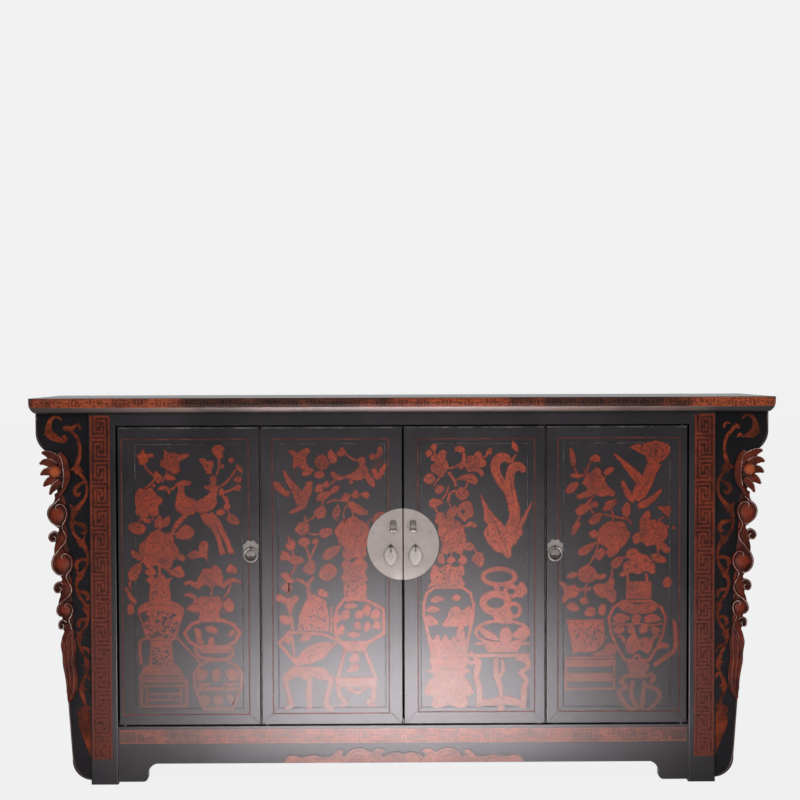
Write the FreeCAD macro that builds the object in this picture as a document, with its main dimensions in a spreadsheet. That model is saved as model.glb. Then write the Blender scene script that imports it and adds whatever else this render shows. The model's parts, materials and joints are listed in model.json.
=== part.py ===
import FreeCAD, Part
import math
import os
from types import SimpleNamespace

import Sketcher

# Sideboard, in millimetres. X runs to the right, Y to the back, Z up.
# The origin is on the floor, under the middle of the top.

doc = FreeCAD.newDocument("sideboard")
sheet = doc.addObject("Spreadsheet::Sheet", "Sizes")


class Size:
    """A length that keeps its number together with the expression it comes from."""

    def __init__(self, value, text):
        self.value = value
        self.text = text

    def __add__(self, other):
        other = size(other)
        return Size(self.value + other.value, "(%s + %s)" % (self.text, other.text))

    def __sub__(self, other):
        other = size(other)
        return Size(self.value - other.value, "(%s - %s)" % (self.text, other.text))

    def __mul__(self, other):
        other = size(other)
        return Size(self.value * other.value, "(%s * %s)" % (self.text, other.text))

    def __truediv__(self, other):
        other = size(other)
        return Size(self.value / other.value, "(%s / %s)" % (self.text, other.text))

    def __neg__(self):
        return size(0) - self

    def __radd__(self, other):
        return size(other) + self

    def __rsub__(self, other):
        return size(other) - self

    def __rmul__(self, other):
        return size(other) * self


def size(number):
    if isinstance(number, Size):
        return number
    return Size(float(number), "(%s)" % float(number))


SIZES = {
    # Sizes of the whole
    "top_length": 1800,  # length of the top
    "top_depth": 470,  # depth of the top
    "total_height": 940,  # height of the top above the floor
    "top_thickness": 36,  # thickness of the top
    "front_overhang": 20,  # top in front of the posts
    "back_overhang": 20,  # top behind the posts
    "end_overhang": 140,  # top beyond the posts at each end
    "post_width": 66,  # posts, across the front
    "post_depth": 58,  # posts, front to back
    "top_rail_height": 30,  # rail over the doors
    "bottom_rail_height": 42,  # rail under the doors
    "apron_height": 49,  # apron between rail and open space
    "apron_clearance": 50,  # open space under the apron
    # Sizes of the joints
    "tenon_length": 20,  # tenons in the posts
    "tenon_thickness": 12,  # thickness of the tenons
    "shoulder": 5,  # step beside a tenon
    "groove_depth": 8,  # grooves that hold panels and wings
    "tongue_thickness": 6,  # tongue round a flush panel
    "soft_edge": 3,  # rounding of the posts
    "fine_edge": 1.5,  # rounding of the doors
    # Doors
    "door_gap": 4,  # gap round the doors
    "door_thickness": 22,  # thickness of the doors
    "door_frame": 40,  # width of stiles and rails of the doors
    "door_panel": 14,  # thickness of the door panels
    "rail_setback": 1.5,  # rails and doors behind the face of the posts
    "stop_gap": 2.5,  # room between a closed door and its stop
    "pivot_inset": 12,  # pivot from the hinge edge
    "pivot_setback": 9,  # pivot from the face of the door
    "pivot_radius": 5,  # radius of the wooden pivots
    "pivot_play": 0.12,  # room round a pivot
    "pivot_top": 14,  # upper pivot in its socket
    "pivot_low": 3.5,  # lower pivot in its socket
    "face_mitre": 3.5,  # mitred layer at the face of a door frame
    "heel": 12.5,  # rounding at the back of the hinge edge
    # Inside
    "front_rail_depth": 50,  # front rails, front to back
    "stop_lip": 12,  # lip that the doors shut against
    "stop_width": 14,  # lip of the bottom rail, front to back
    "inner_rail": 34,  # thickness of end and back rails
    "inner_rail_height": 42,  # height of end and back rails
    "inner_setback": 6,  # end and back rails behind the face of the posts
    "panel_thickness": 10,  # end and back panels
    "floor_thickness": 18,  # floor board
    "ledge": 12,  # ledge that carries the floor board
    "shelf_thickness": 18,  # shelf
    "shelf_height": 520,  # top of the shelf above the floor
    "shelf_setback": 2,  # shelf behind the front posts
    "bearer": 30,  # shelf bearers, square
    "mullion_width": 40,  # mullions, across the front
    # Apron: the lower edge runs down into a bracket beside each post
    "bracket_foot": 72,  # bracket at its foot
    "bracket_head": 92,  # bracket where it meets the apron
    "bracket_rise": 6,  # foot of the bracket above the floor
    "bracket_round": 12,  # rounding at the foot of the bracket
    "bracket_sweep": 30,  # hollow between bracket and apron
    "apron_thickness": 24,  # apron
    "apron_setback": 3,  # apron behind the face of the posts
    # Wings: tall shaped boards housed in the outer side of the posts
    "wing_thickness": 22,  # wing boards
    "wing_setback": 8,  # front wings behind the face of the posts
    "wing_drop": 92,  # shoulder at the top of a wing
    "wing_upright": 48,  # upright part of the shoulder, above its rounding
    "wing_shoulder": 24,  # how far the shoulder draws in
    "wing_neck": 70,  # wing under the lotus, from the post
    "wing_neck_height": 690,  # height of the neck
    "wing_low": 56,  # wing under the tassel, from the post
    "wing_low_height": 205,  # height of the tip of the tassel
    "wing_foot": 46,  # wing above its foot, from the post
    "wing_foot_height": 62,  # height where the foot curls in
    "wing_rise": 10,  # lowest point of a wing above the floor
    "top_inset": 12,  # how far the moulded edge draws in
    # Posts: mortised and grooved by everything that runs into them
    "post_tenon": 24,  # square tenon of a post in the top
    # Top: a flush panel, tongued into a mitred frame with a moulded edge
    "top_rail_width": 90,  # rails of the top
    "top_panel_thickness": 14,  # panel of the top
    "edge_flat": 13,  # upright upper part of the moulded edge
    "batten_width": 32,  # battens under the top panel
    "batten_height": 18,  # height of the battens
    # Lock plate, staples, leaf pulls, ring pulls
    "lock_radius": 87,  # round lock plate
    "lock_height": 584,  # middle of the lock plate
    "lock_split": 0.6,  # half of the gap between the plate halves
    "plate_thickness": 2,  # lock plate and ring plates
    "shank": 4,  # square shanks through the doors
    "shank_play": 0.1,  # room round a shank
    "clinch": 8,  # bent ends of a shank behind the door
    "clinch_thickness": 1.6,  # thickness of the bent ends
    "staple_offset": 24,  # staples from the middle
    "staple_rise": 44,  # staples above the middle of the plate
    "staple_width": 11,  # staples, across
    "staple_height": 28,  # staples, up and down
    "staple_reach": 17,  # staples in front of the plate
    "staple_bore": 5.5,  # radius of the hole for the padlock
    "leaf_offset": 30,  # leaf pulls from the middle
    "leaf_drop": 15,  # hole of a leaf pull under the middle of the plate
    "leaf_width": 32,  # leaf pulls, across
    "leaf_tip": 11.5,  # leaf above its hole
    "leaf_tail": 38,  # leaf under its hole
    "leaf_thickness": 2.6,  # leaf pulls
    "leaf_hole": 2.4,  # radius of the hole in a leaf
    "leaf_loop": 7,  # radius of the eye that a leaf hangs in
    "leaf_wire": 1.2,  # radius of the wire of that eye
    "leaf_play": 0.3,  # room over the wire in the hole of a leaf
    "ring_plate": 18,  # ring plates, radius inside the lobes
    "ring_lobe": 5,  # radius of the lobes
    "ring_edge": 21,  # ring plates from the free edge of the door
    "ring_height": 575,  # middle of the ring plates
    "ring_radius": 16,  # rings, to the middle of the wire
    "ring_wire": 2.4,  # radius of the wire of a ring
    "ring_play": 0.35,  # room round the ring in its eye
    "eye_wire": 1.4,  # radius of the wire of a ring's eye
    # Carvings on the front wings
    "carving_inset": 9,  # chain of the carving from the edge of the wing
    "carving_depth": 9,  # thickness of the stem of a carving
    "carving_step": 2.5,  # how far each petal or curl stands above the next
    "lotus_height": 738,  # height of the calyx of the lotus
    "lotus_reach": 92,  # longest petal of the lotus
    "petal_width": 26,  # width of the petals
    "curl_radius": 23,  # largest curl of the chain
    "stem_width": 28,  # width of the stem
    "tassel_width": 33,  # width of the tassel
    "tassel_top": 376,  # height where the tassel starts
}

for row, (alias, value) in enumerate(SIZES.items(), 1):
    sheet.set("A%d" % row, alias)
    sheet.set("B%d" % row, str(value))
    sheet.setAlias("B%d" % row, alias)
doc.recompute()
sizes = SimpleNamespace(**{alias: Size(float(value), "Sizes." + alias) for alias, value in SIZES.items()})


def both(a, b):
    """The two ends of a stretch, low end first."""
    a, b = size(a), size(b)
    return (a, b) if a.value < b.value else (b, a)


def block(name, x, y, z):
    """A rectangular piece between three pairs of planes."""
    box = doc.addObject("Part::Box", name)
    for length, axis, (low, high) in (("Length", "x", x), ("Width", "y", y), ("Height", "z", z)):
        box.setExpression(length, (high - low).text)
        box.setExpression("Placement.Base." + axis, low.text)
    return box


def pin(name, radius, x, y, z):
    """An upright round pin."""
    rod = doc.addObject("Part::Cylinder", name)
    rod.setExpression("Radius", radius.text)
    rod.setExpression("Height", (z[1] - z[0]).text)
    rod.setExpression("Placement.Base.x", x.text)
    rod.setExpression("Placement.Base.y", y.text)
    rod.setExpression("Placement.Base.z", z[0].text)
    return rod


def group(name, members):
    together = doc.addObject("Part::Compound", name)
    together.Links = list(members)
    return together


def joined(name, *members):
    union = doc.addObject("Part::MultiFuse", name)
    union.Shapes = list(members)
    return union


def without(name, base, *others):
    """A piece with the seats of its neighbours cut out of it."""
    cut = doc.addObject("Part::Cut", name)
    cut.Base = base
    cut.Tool = others[0] if len(others) == 1 else group(name + "_seats", others)
    return cut


NORMALS = {"XY": ("z", False), "XZ": ("y", True), "YZ": ("x", False)}


def board(name, plane, corners, depth):
    """A body padded from an outline on one of the origin planes.

    A corner is (u, v), or (u, v, radius, side) where an arc leads on to the
    next corner and bulges to the left (1) or the right (-1) of the way there.
    """
    body = doc.addObject("PartDesign::Body", name)
    sketch = body.newObject("Sketcher::SketchObject", name + "_outline")
    origin = [plane_of for plane_of in body.Origin.OriginFeatures if plane_of.Role == plane + "_Plane"]
    sketch.AttachmentSupport = [(origin[0], "")]
    sketch.MapMode = "FlatFace"
    places = [FreeCAD.Vector(size(c[0]).value, size(c[1]).value, 0) for c in corners]
    ends = []
    for index, corner in enumerate(corners):
        start = places[index]
        finish = places[(index + 1) % len(corners)]
        if len(corner) == 2:
            edge = sketch.addGeometry(Part.LineSegment(start, finish))
        else:
            way = finish - start
            radius = size(corner[2]).value
            half = way.Length / 2
            rise = radius - math.sqrt(radius * radius - half * half)
            left = FreeCAD.Vector(-way.y, way.x, 0).normalize()
            middle = (start + finish) / 2 + left * (rise * corner[3])
            edge = sketch.addGeometry(Part.Arc(start, middle, finish))
        first = 1 if sketch.getPoint(edge, 1).distanceToPoint(start) < 0.001 else 2
        ends.append((edge, first, 3 - first))
    for index, corner in enumerate(corners):
        edge, first, last = ends[index]
        after = ends[(index + 1) % len(corners)]
        sketch.addConstraint(Sketcher.Constraint("Coincident", edge, last, after[0], after[1]))
        for kind, length in (("DistanceX", size(corner[0])), ("DistanceY", size(corner[1]))):
            number = sketch.addConstraint(Sketcher.Constraint(kind, -1, 1, edge, first, length.value))
            sketch.setExpression("Constraints[%d]" % number, length.text)
        if len(corner) > 2:
            length = size(corner[2])
            number = sketch.addConstraint(Sketcher.Constraint("Radius", edge, length.value))
            sketch.setExpression("Constraints[%d]" % number, length.text)
    pad = body.newObject("PartDesign::Pad", name + "_pad")
    pad.Profile = sketch
    sketch.Visibility = False
    axis, turned = NORMALS[plane]
    pad.Reversed = turned
    pad.setExpression("Length", (depth[1] - depth[0]).text)
    body.setExpression("Placement.Base." + axis, depth[0].text)
    return body


def rounded(body, radius, choose):
    """Rounds the edges of a body whose middle point the test chooses."""
    doc.recompute()
    tip = body.Tip
    shift = body.Placement.Base
    names = []
    for number, edge in enumerate(tip.Shape.Edges):
        middle = edge.valueAt((edge.FirstParameter + edge.LastParameter) / 2) + shift
        along = (edge.Vertexes[-1].Point - edge.Vertexes[0].Point)
        if choose(middle, along):
            names.append("Edge%d" % (number + 1))
    fillet = body.newObject("PartDesign::Fillet", body.Name + "_round")
    fillet.Base = (tip, names)
    fillet.setExpression("Radius", radius.text)
    return body


def near(a, b):
    return abs(a - b) < 0.01


# Planes that several pieces share
x_end = sizes.top_length / 2
y_lead = -sizes.top_depth / 2
y_tail = sizes.top_depth / 2
y_face = y_lead + sizes.front_overhang
y_rear = y_tail - sizes.back_overhang
x_post = x_end - sizes.end_overhang
x_open = x_post - sizes.post_width
z_top = sizes.total_height
z_under = sizes.total_height - sizes.top_thickness
z_open_top = z_under - sizes.top_rail_height
z_rail = sizes.apron_clearance + sizes.apron_height
z_open_low = z_rail + sizes.bottom_rail_height
y_post_back = y_face + sizes.post_depth
y_post_front = y_rear - sizes.post_depth

# Doors

y_front = y_face + sizes.rail_setback
y_back = y_front + sizes.door_thickness
y_stop = y_back + sizes.stop_gap
y_pivot = y_front + sizes.pivot_setback
door_width = (x_open * 2 - sizes.door_gap * 5) / 4
door_low = z_open_low + sizes.door_gap
door_top = z_open_top - sizes.door_gap

# Inside

z_floor = z_open_low + sizes.stop_lip
z_ledge = z_floor - sizes.floor_thickness
y_rail_back = y_front + sizes.front_rail_depth
y_inner = y_rear - sizes.inner_setback - sizes.inner_rail
x_inner = x_post - sizes.inner_setback - sizes.inner_rail
panel_in = (sizes.inner_rail - sizes.panel_thickness) / 2
y_panel = y_inner + panel_in
x_panel = x_inner + panel_in
x_mullion = x_open - sizes.door_gap * 1.5 - door_width
z_lip = z_open_top - sizes.stop_lip

# Panels of the back and the ends sit in grooves all round, so they come first
back_panel = block("back_panel", both(-x_open - sizes.groove_depth, x_open + sizes.groove_depth),
                   (y_panel, y_panel + sizes.panel_thickness),
                   (z_floor - sizes.groove_depth, z_under - sizes.inner_rail_height + sizes.groove_depth))
end_panels = {}
for side, sign in (("left", -1), ("right", 1)):
    end_panels[side] = block(side + "_end_panel",
                             both(sign * x_panel, sign * (x_panel + sizes.panel_thickness)),
                             (y_post_back - sizes.groove_depth, y_post_front + sizes.groove_depth),
                             (z_ledge - sizes.groove_depth,
                              z_under - sizes.inner_rail_height + sizes.groove_depth))

# Mullions stand on floor and lip, with a tenon at each end
mullion_parts = []
for side, sign in (("left", -1), ("right", 1)):
    middle = sign * x_mullion
    stand = block(side + "_mullion_post",
                  both(middle - sizes.mullion_width / 2, middle + sizes.mullion_width / 2),
                  (y_stop, y_rail_back), (z_floor, z_lip))
    tenon = block(side + "_mullion_tenon",
                  both(middle - sizes.mullion_width / 2 + sizes.shoulder,
                       middle + sizes.mullion_width / 2 - sizes.shoulder),
                  (y_stop + 1, y_stop + 1 + sizes.tenon_thickness), (z_floor - sizes.groove_depth,
                          z_lip + sizes.groove_depth))
    mullion_parts.append(joined(side + "_mullion", stand, tenon))
mullions = group("mullions", mullion_parts)

# Front rails: the lip behind the doors is worked in the solid
top_section = board("front_top_rail_bar", "YZ", [
    (y_front, z_open_top), (y_stop, z_open_top), (y_stop, z_lip),
    (y_rail_back, z_lip), (y_rail_back, z_under), (y_front, z_under)], both(-x_open, x_open))
top_tenon = block("front_top_rail_tenon", both(-x_open - sizes.tenon_length, x_open + sizes.tenon_length),
                  (y_stop, y_stop + sizes.tenon_thickness), (z_lip + sizes.shoulder,
                          z_under - sizes.shoulder))
low_section = board("front_bottom_rail_bar", "YZ", [
    (y_front, z_rail), (y_rail_back, z_rail), (y_rail_back, z_ledge),
    (y_stop + sizes.stop_width, z_ledge), (y_stop + sizes.stop_width, z_floor), (y_stop, z_floor),
    (y_stop, z_open_low), (y_front, z_open_low)], both(-x_open, x_open))
low_tenon = block("front_bottom_rail_tenon",
                  both(-x_open - sizes.tenon_length, x_open + sizes.tenon_length),
                  (y_stop, y_stop + sizes.tenon_thickness), (z_rail + sizes.shoulder,
                          z_ledge - sizes.shoulder))

DOORS = (("left_outer", -1, 1), ("left_inner", -1, 0), ("right_inner", 1, 0), ("right_outer", 1, 1))


def door_edges(sign, outer):
    """Hinge edge and free edge of a door, along X."""
    hinge = x_open - sizes.door_gap if outer else x_mullion - sizes.door_gap / 2
    return sign * hinge, sign * (hinge - door_width)


sockets = []
for name, sign, outer in DOORS:
    hinge, free = door_edges(sign, outer)
    x_pivot = hinge - sign * sizes.pivot_inset
    bore = sizes.pivot_radius + sizes.pivot_play
    sockets.append((pin(name + "_top_socket", bore, x_pivot, y_pivot,
                        (z_open_top, z_open_top + sizes.pivot_top + sizes.door_gap + 1)),
                    pin(name + "_low_socket", bore, x_pivot, y_pivot,
                        (z_open_low - sizes.pivot_low - sizes.pivot_play, z_open_low))))
front_top_rail = without("front_top_rail", joined("front_top_rail_blank", top_section, top_tenon),
                         mullions, *[pair[0] for pair in sockets])
front_bottom_rail = without("front_bottom_rail", joined("front_bottom_rail_blank", low_section, low_tenon),
                            mullions, *[pair[1] for pair in sockets])

# Apron: the lower edge runs down into a bracket beside each post

x_foot = x_open - sizes.bracket_foot
x_head = x_open - sizes.bracket_head
apron = board("front_apron", "XZ", [
    (-x_open - sizes.groove_depth, z_rail), (-x_open - sizes.groove_depth, sizes.bracket_rise),
    (-x_foot - sizes.bracket_round, sizes.bracket_rise, sizes.bracket_round, -1),
    (-x_foot, sizes.bracket_rise + sizes.bracket_round),
    (-x_foot, sizes.apron_clearance - sizes.bracket_head + sizes.bracket_foot, sizes.bracket_sweep, 1),
    (-x_head, sizes.apron_clearance),
    (x_head, sizes.apron_clearance, sizes.bracket_sweep, 1),
    (x_foot, sizes.apron_clearance - sizes.bracket_head + sizes.bracket_foot),
    (x_foot, sizes.bracket_rise + sizes.bracket_round, sizes.bracket_round, -1),
    (x_foot + sizes.bracket_round, sizes.bracket_rise),
    (x_open + sizes.groove_depth, sizes.bracket_rise), (x_open + sizes.groove_depth, z_rail)],
    (y_face + sizes.apron_setback, y_face + sizes.apron_setback + sizes.apron_thickness))

# Back rails, grooved for the back panel; the lower one has a ledge for the floor
span = both(-x_open, x_open)
reach = both(-x_open - sizes.tenon_length, x_open + sizes.tenon_length)
back_depth = (y_inner, y_inner + sizes.inner_rail)
tenon_depth = (y_panel + sizes.panel_thickness - sizes.tenon_thickness, y_panel + sizes.panel_thickness)
back_low = joined("back_low_rail_blank", board("back_low_rail_bar", "YZ", [
    (y_inner, z_rail), (y_inner + sizes.inner_rail, z_rail), (y_inner + sizes.inner_rail, z_floor),
    (y_inner + sizes.ledge, z_floor), (y_inner + sizes.ledge, z_ledge), (y_inner, z_ledge)], span),
    block("back_low_rail_tenon", reach, tenon_depth, (z_rail + sizes.shoulder, z_ledge - sizes.shoulder)))
back_high = joined("back_high_rail_blank",
                   block("back_high_rail_bar", span, back_depth,
                         (z_under - sizes.inner_rail_height, z_under)),
                   block("back_high_rail_tenon", reach, tenon_depth,
                         (z_under - sizes.inner_rail_height + sizes.groove_depth + sizes.shoulder,
                          z_under - sizes.shoulder)))
back_rails = group("back_rails", [without("back_low_rail", back_low, back_panel),
                                  without("back_high_rail", back_high, back_panel)])

# End rails run between the posts, grooved for the end panels
end_rails = {}
for side, sign in (("left", -1), ("right", 1)):
    across = both(sign * x_inner, sign * (x_inner + sizes.inner_rail))
    inset = both(sign * x_panel, sign * (x_panel + sizes.tenon_thickness))
    pair = []
    for level, low, high in (("low", z_rail, z_ledge), ("high", z_under - sizes.inner_rail_height,
                                                        z_under)):
        name = side + "_end_" + level + "_rail"
        bar = block(name + "_bar", across, (y_post_back, y_post_front), (low, high))
        ground = low + sizes.groove_depth if level == "high" else low
        crown = high - sizes.groove_depth if level == "low" else high
        tenon = block(name + "_tenon", inset,
                      (y_post_back - sizes.tenon_length, y_post_front + sizes.tenon_length),
                      (ground + sizes.shoulder, crown - sizes.shoulder))
        pair.append(without(name, joined(name + "_blank", bar, tenon), end_panels[side]))
    end_rails[side] = group(side + "_end_rails", pair)

# Floor, shelf and what carries the shelf
y_floor = y_stop + sizes.stop_width
floor_board = without("floor_board", board("floor_board_blank", "XY", [
    (-x_open, y_floor), (x_open, y_floor), (x_open, y_post_back), (x_panel, y_post_back),
    (x_panel, y_post_front), (x_open, y_post_front), (x_open, y_inner + sizes.ledge),
    (-x_open, y_inner + sizes.ledge), (-x_open, y_post_front), (-x_panel, y_post_front),
    (-x_panel, y_post_back), (-x_open, y_post_back)], (z_ledge, z_floor)), mullions)
y_shelf = y_post_back + sizes.shelf_setback
shelf = board("shelf", "XY", [
    (-x_panel, y_shelf), (x_panel, y_shelf), (x_panel, y_post_front), (x_open, y_post_front),
    (x_open, y_panel), (-x_open, y_panel), (-x_open, y_post_front), (-x_panel, y_post_front)],
    (sizes.shelf_height - sizes.shelf_thickness, sizes.shelf_height))
bearer_height = (sizes.shelf_height - sizes.shelf_thickness - sizes.bearer,
                 sizes.shelf_height - sizes.shelf_thickness)
bearers = []
for side, sign in (("left", -1), ("right", 1)):
    bearers.append(block(side + "_cleat", both(sign * x_panel, sign * (x_panel - sizes.bearer)),
                         (y_post_back, y_post_front), bearer_height))
    bearers.append(block(side + "_cross_bearer",
                         both(sign * x_mullion - sizes.bearer / 2, sign * x_mullion + sizes.bearer / 2),
                         (y_rail_back, y_panel), bearer_height))
shelf_bearers = group("shelf_bearers", bearers)

# Wings: tall shaped boards housed in the outer side of the posts

x_wing = x_end - sizes.top_inset
foot_run = sizes.wing_foot
foot_height = sizes.wing_foot_height - sizes.wing_rise
foot_curve = (foot_run * foot_run + foot_height * foot_height) / (foot_height * 2) * 1.04
shoulder_run = sizes.wing_shoulder
shoulder_drop = sizes.wing_drop - sizes.wing_upright
shoulder_curve = (shoulder_run * shoulder_run + shoulder_drop * shoulder_drop) / (shoulder_run * 2) * 1.02
wings = {}
for end, low in (("front", y_face + sizes.wing_setback),
                 ("back", y_rear - sizes.wing_setback - sizes.wing_thickness)):
    for side, sign in (("left", -1), ("right", 1)):
        name = side + "_" + end + "_wing"
        wings[name] = board(name, "XZ", [
            (sign * (x_post - sizes.groove_depth), z_under),
            (sign * x_wing, z_under),
            (sign * x_wing, z_under - sizes.wing_upright, shoulder_curve, sign),
            (sign * (x_wing - sizes.wing_shoulder), z_under - sizes.wing_drop),
            (sign * (x_post + sizes.wing_neck), sizes.wing_neck_height),
            (sign * (x_post + sizes.wing_low), sizes.wing_low_height),
            (sign * (x_post + sizes.wing_foot), sizes.wing_foot_height, foot_curve, sign),
            (sign * x_post, sizes.wing_rise),
            (sign * (x_post - sizes.groove_depth), sizes.wing_rise)], (low, low + sizes.wing_thickness))

# Posts: mortised and grooved by everything that runs into them
posts = {}
for end, low in (("front", y_face), ("back", y_post_front)):
    for side, sign in (("left", -1), ("right", 1)):
        name = end + "_" + side + "_post"
        bar = board(name + "_bar", "XY", [
            (sign * x_post, low), (sign * x_open, low),
            (sign * x_open, low + sizes.post_depth), (sign * x_post, low + sizes.post_depth)], (size(0),
                    z_under))
        rounded(bar, sizes.soft_edge, lambda middle, along: abs(along.z) > 1)
        middle = sign * (x_post - sizes.post_width / 2)
        centre = low + sizes.post_depth / 2
        tenon = block(name + "_tenon", both(middle - sizes.post_tenon / 2, middle + sizes.post_tenon / 2),
                      (centre - sizes.post_tenon / 2, centre + sizes.post_tenon / 2),
                      (z_under - sizes.shoulder, z_under + sizes.top_thickness / 2))
        runs_in = [end_rails[side], end_panels[side], wings[side + "_" + end + "_wing"]]
        if end == "front":
            runs_in = runs_in + [front_top_rail, front_bottom_rail, apron]
        else:
            runs_in = runs_in + [back_rails, back_panel]
        posts[name] = without(name, joined(name + "_blank", bar, tenon), *runs_in)

# Top: a flush panel, tongued into a mitred frame with a moulded edge

x_field = x_end - sizes.top_rail_width
y_field = (y_lead + sizes.top_rail_width, y_tail - sizes.top_rail_width)
z_field = z_top - sizes.top_panel_thickness
tongue = (z_field + sizes.tongue_thickness / 3,
          z_field + sizes.tongue_thickness / 3 + sizes.tongue_thickness)
top_panel = joined("top_panel", block("top_panel_board", both(-x_field, x_field), y_field,
                                      (z_field, z_top)),
                   block("top_panel_tongue",
                         both(-x_field - sizes.groove_depth, x_field + sizes.groove_depth),
                         (y_field[0] - sizes.groove_depth, y_field[1] + sizes.groove_depth), tongue))
battens = []
for number, place in enumerate((-0.6, 0, 0.6)):
    middle = x_field * place
    battens.append(block("top_batten_%d" % (number + 1),
                         both(middle - sizes.batten_width / 2, middle + sizes.batten_width / 2),
                         (y_field[0] - sizes.groove_depth,
                          y_field[1] + sizes.groove_depth), (z_field - sizes.batten_height, z_field)))
top_battens = group("top_battens", battens)

edge_drop = sizes.top_thickness - sizes.edge_flat
edge_curve = (sizes.top_inset * sizes.top_inset + edge_drop * edge_drop) / (sizes.top_inset * 2)
top_rails = {}
for name, axis, out, inward, sign in (("top_front_rail", "YZ", y_lead, y_field[0], 1),
                                      ("top_back_rail", "YZ", y_tail, y_field[1], -1),
                                      ("top_left_rail", "XZ", -x_end, -x_field, 1),
                                      ("top_right_rail", "XZ", x_end, x_field, -1)):
    section = board(name + "_section", axis, [
        (out, z_top), (out, z_top - sizes.edge_flat, edge_curve, -sign),
        (out + sign * sizes.top_inset, z_under), (inward, z_under), (inward, z_top)],
        both(-x_end, x_end) if axis == "YZ" else (y_lead, y_tail))
    if axis == "YZ":
        plan = [(-x_end, out), (x_end, out), (x_field, inward), (-x_field, inward)]
    else:
        plan = [(out, y_lead), (out, y_tail), (inward, y_field[1]), (inward, y_field[0])]
    mitre = board(name + "_mitre", "XY", plan, (z_under, z_top))
    blank = doc.addObject("Part::Common", name + "_blank")
    blank.Base = section
    blank.Tool = mitre
    top_rails[name] = blank
for name in ("top_front_rail", "top_back_rail"):
    end = name.split("_")[1]
    top_rails[name] = without(name, top_rails[name], top_panel, top_battens,
                              *[posts[end + "_" + side + "_post"] for side in ("left", "right")])
for name in ("top_left_rail", "top_right_rail"):
    top_rails[name] = without(name, top_rails[name], top_panel)

# Lock plate, staples, leaf pulls, ring pulls

y_plate = y_front - sizes.plate_thickness


def torus(name, radius, wire, x, y, z, facing):
    """A ring of round wire that looks along X or along Y."""
    loop = doc.addObject("Part::Torus", name)
    loop.setExpression("Radius1", radius.text)
    loop.setExpression("Radius2", wire.text)
    axis = FreeCAD.Vector(0, 1, 0) if facing == "X" else FreeCAD.Vector(1, 0, 0)
    loop.Placement = FreeCAD.Placement(FreeCAD.Vector(), FreeCAD.Rotation(axis, 90))
    for letter, length in (("x", x), ("y", y), ("z", z)):
        loop.setExpression("Placement.Base." + letter, size(length).text)
    return loop


def shank_parts(name, x, y, z):
    """A square shank through plate and door, with its ends bent over behind."""
    half = sizes.shank / 2
    stem = block(name + "_shank", (x - half, x + half), (y, y_back + sizes.clinch_thickness),
                 (z - half, z + half))
    bent = block(name + "_clinch", (x - half, x + half), (y_back, y_back + sizes.clinch_thickness),
                 (z - sizes.clinch, z + sizes.clinch))
    return [stem, bent]


def shank_hole(name, x, z):
    half = sizes.shank / 2 + sizes.shank_play
    return block(name + "_hole", (x - half, x + half), (y_plate - 1, y_back + 1), (z - half, z + half))


def upright_bore(name, radius, x, y, z):
    """A hole along Y (x, z given, y a stretch) or along X (y, z given, x a stretch)."""
    bore = doc.addObject("Part::Cylinder", name)
    bore.setExpression("Radius", radius.text)
    stretch = y if isinstance(y, tuple) else x
    axis = FreeCAD.Vector(-1, 0, 0) if isinstance(y, tuple) else FreeCAD.Vector(0, 1, 0)
    bore.Placement = FreeCAD.Placement(FreeCAD.Vector(), FreeCAD.Rotation(axis, 90))
    bore.setExpression("Height", (stretch[1] - stretch[0]).text)
    start = (x, stretch[0], z) if isinstance(y, tuple) else (stretch[0], y, z)
    for letter, length in zip("xyz", start):
        bore.setExpression("Placement.Base." + letter, length.text)
    return bore


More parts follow.
